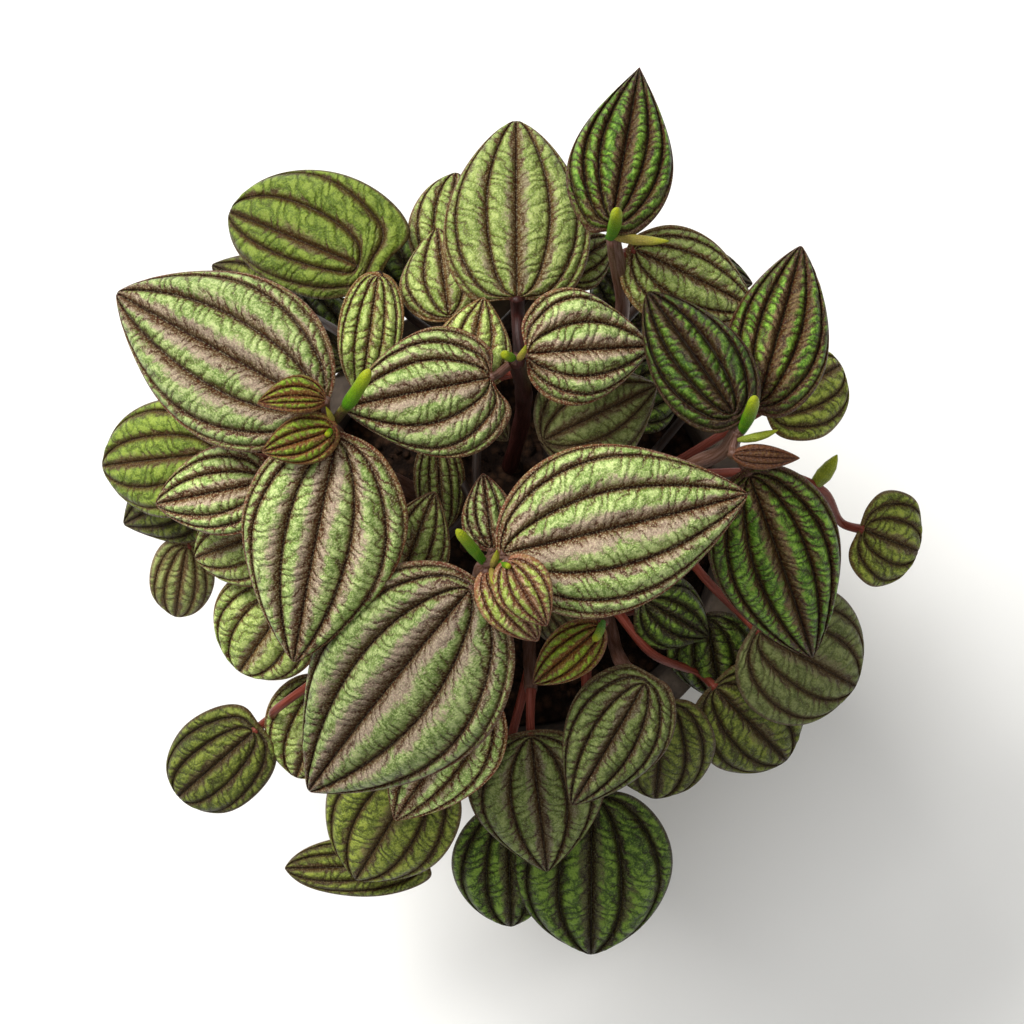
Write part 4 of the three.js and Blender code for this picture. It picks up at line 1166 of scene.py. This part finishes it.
def clayMaterial():
    # fired clay: mottled dark brown, pale mineral bloom low down and at the rim, and fine grit;
    # the browns are partly the clay's own and partly painted shade, kept dark for the pot seen between the
    # leaves
    material, tree, shader = newMaterial("firedClay")
    spot = ownPlace(tree)
    _, _, height = split(tree, spot)
    broad = noise(tree, spot, 28, 4, 0.6)
    grit = noise(tree, spot, 900, 3, 0.7)
    cloud = noise(tree, spot, 70, 4, 0.65)
    colour = paint(tree, linear(*pot["dark"]), step(tree, broad, 0.35, 0.65), pot["clay"])
    low = step(tree, height, 0.03, 0.0, 0.0, 0.5)
    high = step(tree, height, 0.09, 0.105, 0.0, 0.35)
    bloom = total(tree, low, high, step(tree, cloud, 0.5, 0.75, 0.0, 0.55))
    bloom = times(tree, bloom, step(tree, cloud, 0.35, 0.6))
    colour = paint(tree, colour, bloom, pot["pale"])
    colour = paint(tree, colour, step(tree, grit, 0.62, 0.75, 0.0, 0.6), pot["grit"])
    setShader(tree, shader, colour, total(tree, 0.72, times(tree, cloud, 0.2)))
    # fine level rings from the wheel
    rings = tree.nodes.new("ShaderNodeTexWave")
    rings.bands_direction = "Z"
    rings.inputs["Scale"].default_value = 90
    rings.inputs["Distortion"].default_value = 3
    rings.inputs["Detail Scale"].default_value = 0.4
    tree.links.new(spot, rings.inputs["Vector"])
    bump(tree, shader, total(tree, times(tree, rings.outputs["Fac"], 0.06), times(tree, grit, 0.18)))
    return material


def makePot():
    foot = pot["height"] - pot["collarHeight"]
    bodyTop = innerRadius(foot) + pot["wall"]
    rim = innerRadius(pot["height"])
    outline = roundedOutline([
        (pot["drainRadius"], 0), (pot["baseRadius"], 0), (bodyTop, foot), (bodyTop + pot["collarStep"], foot),
        (pot["rimRadius"], pot["height"]), (rim, pot["height"]), (innerRadius(pot["floor"]), pot["floor"]),
        (pot["drainRadius"], pot["floor"]),
    ], pot["edge"], pot["edgeCuts"])
    # extra rings along the walls keep long faces short
    shares = np.arange(pot["wallCuts"]) / pot["wallCuts"]
    after = np.roll(outline, -1, axis=0)
    outline = (outline[:, None] + (after - outline)[:, None] * shares[None, :, None]).reshape(-1, 2)
    piece = buildMesh("clayPot", [plainPatch(*turned(outline, pot["sides"]))], [clayMaterial()])
    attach(piece, "root")
    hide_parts("pot")


# Lengths are in millimetres. roughness is the height of the mound's waves, sunk how far their middle
# lies below the smooth mound, and crumbSunk how far the crumbs' middles do. crumbSize scales crumbs.
soil = {
    "clearance": 0.5, "floorGap": 0.3, "edgeHeight": 95, "crownHeight": 98, "shoulder": 3, "sides": 180,
    "rings": 70, "roughness": 0.9, "sunk": 0.8, "crumbs": 520, "crumbSize": 0.32, "crumbSunk": 0.7,
    "dark": (30, 20, 15), "brown": (66, 46, 33), "damp": (24, 16, 12), "fibre": (104, 78, 52),
}


def soilMaterial():
    # brown lumps, dark between them, with damp patches and a few paler fibres; the browns are
    # partly the soil's own and partly painted shade, darkened for the shade under the leaves
    material, tree, shader = newMaterial("pottingSoil")
    spot = ownPlace(tree)
    broad = noise(tree, spot, 120, 4, 0.7)
    fine = noise(tree, spot, 1400, 4, 0.7)
    lump = cells(tree, spot, 420, "F1")
    colour = paint(tree, linear(*soil["brown"]), step(tree, lump, 0.1, 0.7), soil["dark"])
    colour = paint(tree, colour, step(tree, broad, 0.4, 0.7, 0.0, 0.6), soil["damp"])
    colour = paint(tree, colour, step(tree, fine, 0.66, 0.74, 0.0, 0.5), soil["fibre"])
    setShader(tree, shader, colour, step(tree, fine, 0.3, 0.7, 0.75, 0.98), 0.1)
    bump(tree, shader, times(tree, minus(tree, fine, lump), 0.6))
    return material


def moundHeight(share):
    return soil["edgeHeight"] + (soil["crownHeight"] - soil["edgeHeight"]) * (1 - share ** 2)


def makeSoil():
    # a mound whose height falls with the square of the radius, roughened by waves
    side = innerRadius(soil["edgeHeight"]) - soil["clearance"]
    share = np.linspace(1, 0, soil["rings"])[:, None]
    turn = np.linspace(0, 2 * np.pi, soil["sides"] + 1)[None]
    across, down = share * side * np.cos(turn), share * side * np.sin(turn)
    rough = waves(np.stack([across, down], axis=-1), 5, 14, 6)
    rough[:, -1] = rough[:, 0]
    height = moundHeight(share) + soil["roughness"] * rough - soil["sunk"]
    top = np.stack([across, down, height], axis=-1)
    floorHeight = pot["floor"] + soil["floorGap"]
    low = innerRadius(floorHeight) - soil["clearance"]
    wall = [np.stack(np.broadcast_arrays(r * np.cos(turn), r * np.sin(turn), z + 0 * turn), axis=-1)
            for r, z in ((0, floorHeight), (low, floorHeight), (side, soil["edgeHeight"] - soil["shoulder"]))]
    grid = np.concatenate([*wall, top])
    mound = plainPatch(grid, gridCorners(roundIds(grid.shape[:2])))
    # crumbs: small round grids, stretched and turned at random, half sunk in the mound
    dice = np.random.default_rng(11)
    turns, rises = np.meshgrid(np.linspace(0, 2 * np.pi, 7), np.linspace(-np.pi / 2, np.pi / 2, 5))
    ball = np.stack([np.cos(rises) * np.cos(turns), np.cos(rises) * np.sin(turns), np.sin(rises)], axis=-1)
    ballCorners = gridCorners(roundIds(ball.shape[:2]), flip=True)
    ball = ball.reshape(1, -1, 3)
    many, each = soil["crumbs"], ball.shape[1]
    way, far = dice.uniform(0, 2 * np.pi, many), np.sqrt(dice.uniform(0, 0.93, many))
    size = dice.gamma(3.0, soil["crumbSize"], many)[:, None] * dice.uniform(0.6, 1.3, (many, 3)) * (1, 1, 0.7)
    lift = moundHeight(far) - soil["crumbSunk"]
    centre = np.stack([far * side * np.cos(way), far * side * np.sin(way), lift], axis=-1)
    lumps = ball * (1 + 0.25 * dice.normal(size=(many, each, 1))) * size[:, None] + centre[:, None]
    corners = ballCorners[None] + (np.arange(many) * each)[:, None, None]
    piece = buildMesh("soilMound", [mound, plainPatch(lumps, corners)], [soilMaterial()])
    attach(piece, "root")
    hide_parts("soil")


def makeFloor():
    # a level grid, as wide as floorSize says in metres
    lines = studio["floorLines"]
    half = studio["floorSize"] * 1000 / 2
    spots = np.linspace(-half, half, lines)
    grid = np.stack(np.meshgrid(spots, spots) + [np.zeros((lines, lines))], axis=-1)
    ids = np.arange(lines * lines).reshape(lines, lines)
    material, tree, shader = newMaterial("paleFloor")
    haze = noise(tree, ownPlace(tree), 4, 2)
    first, second = studio["floorTones"]
    setShader(tree, shader, paint(tree, linear(*first), haze, second), 0.8)
    buildMesh("paleFloor", [plainPatch(grid, gridCorners(ids, flip=True))], [material])


# Making it all.

makeCamera()
makeLights()
makeFloor()
print("studio ready")
makePot()
makeSoil()
print("pot and soil ready")
leafTops = {name: leafMaterial(name + "Leaf", look) for name, look in leafLooks.items()}
underside, stalkSkin, spikeSkin = undersideMaterial(), stalkMaterial(), spikeMaterial()
for stem in (stemLeft, stemMiddle, stemBack, stemRight, stemFront, stemBud, stemFrontRight, lowBackLeft,
             lowBack, lowLeft, lowLeftFront, lowFrontLeft, lowFront, lowFrontMiddle, lowFrontRight,
             lowRightFront, lowRight, lowInnerRight, lowInnerLeft):
    leaves, stalks = leafyStem(stem)
    print(stem["node"], len(leaves.data.polygons), len(stalks.data.polygons))
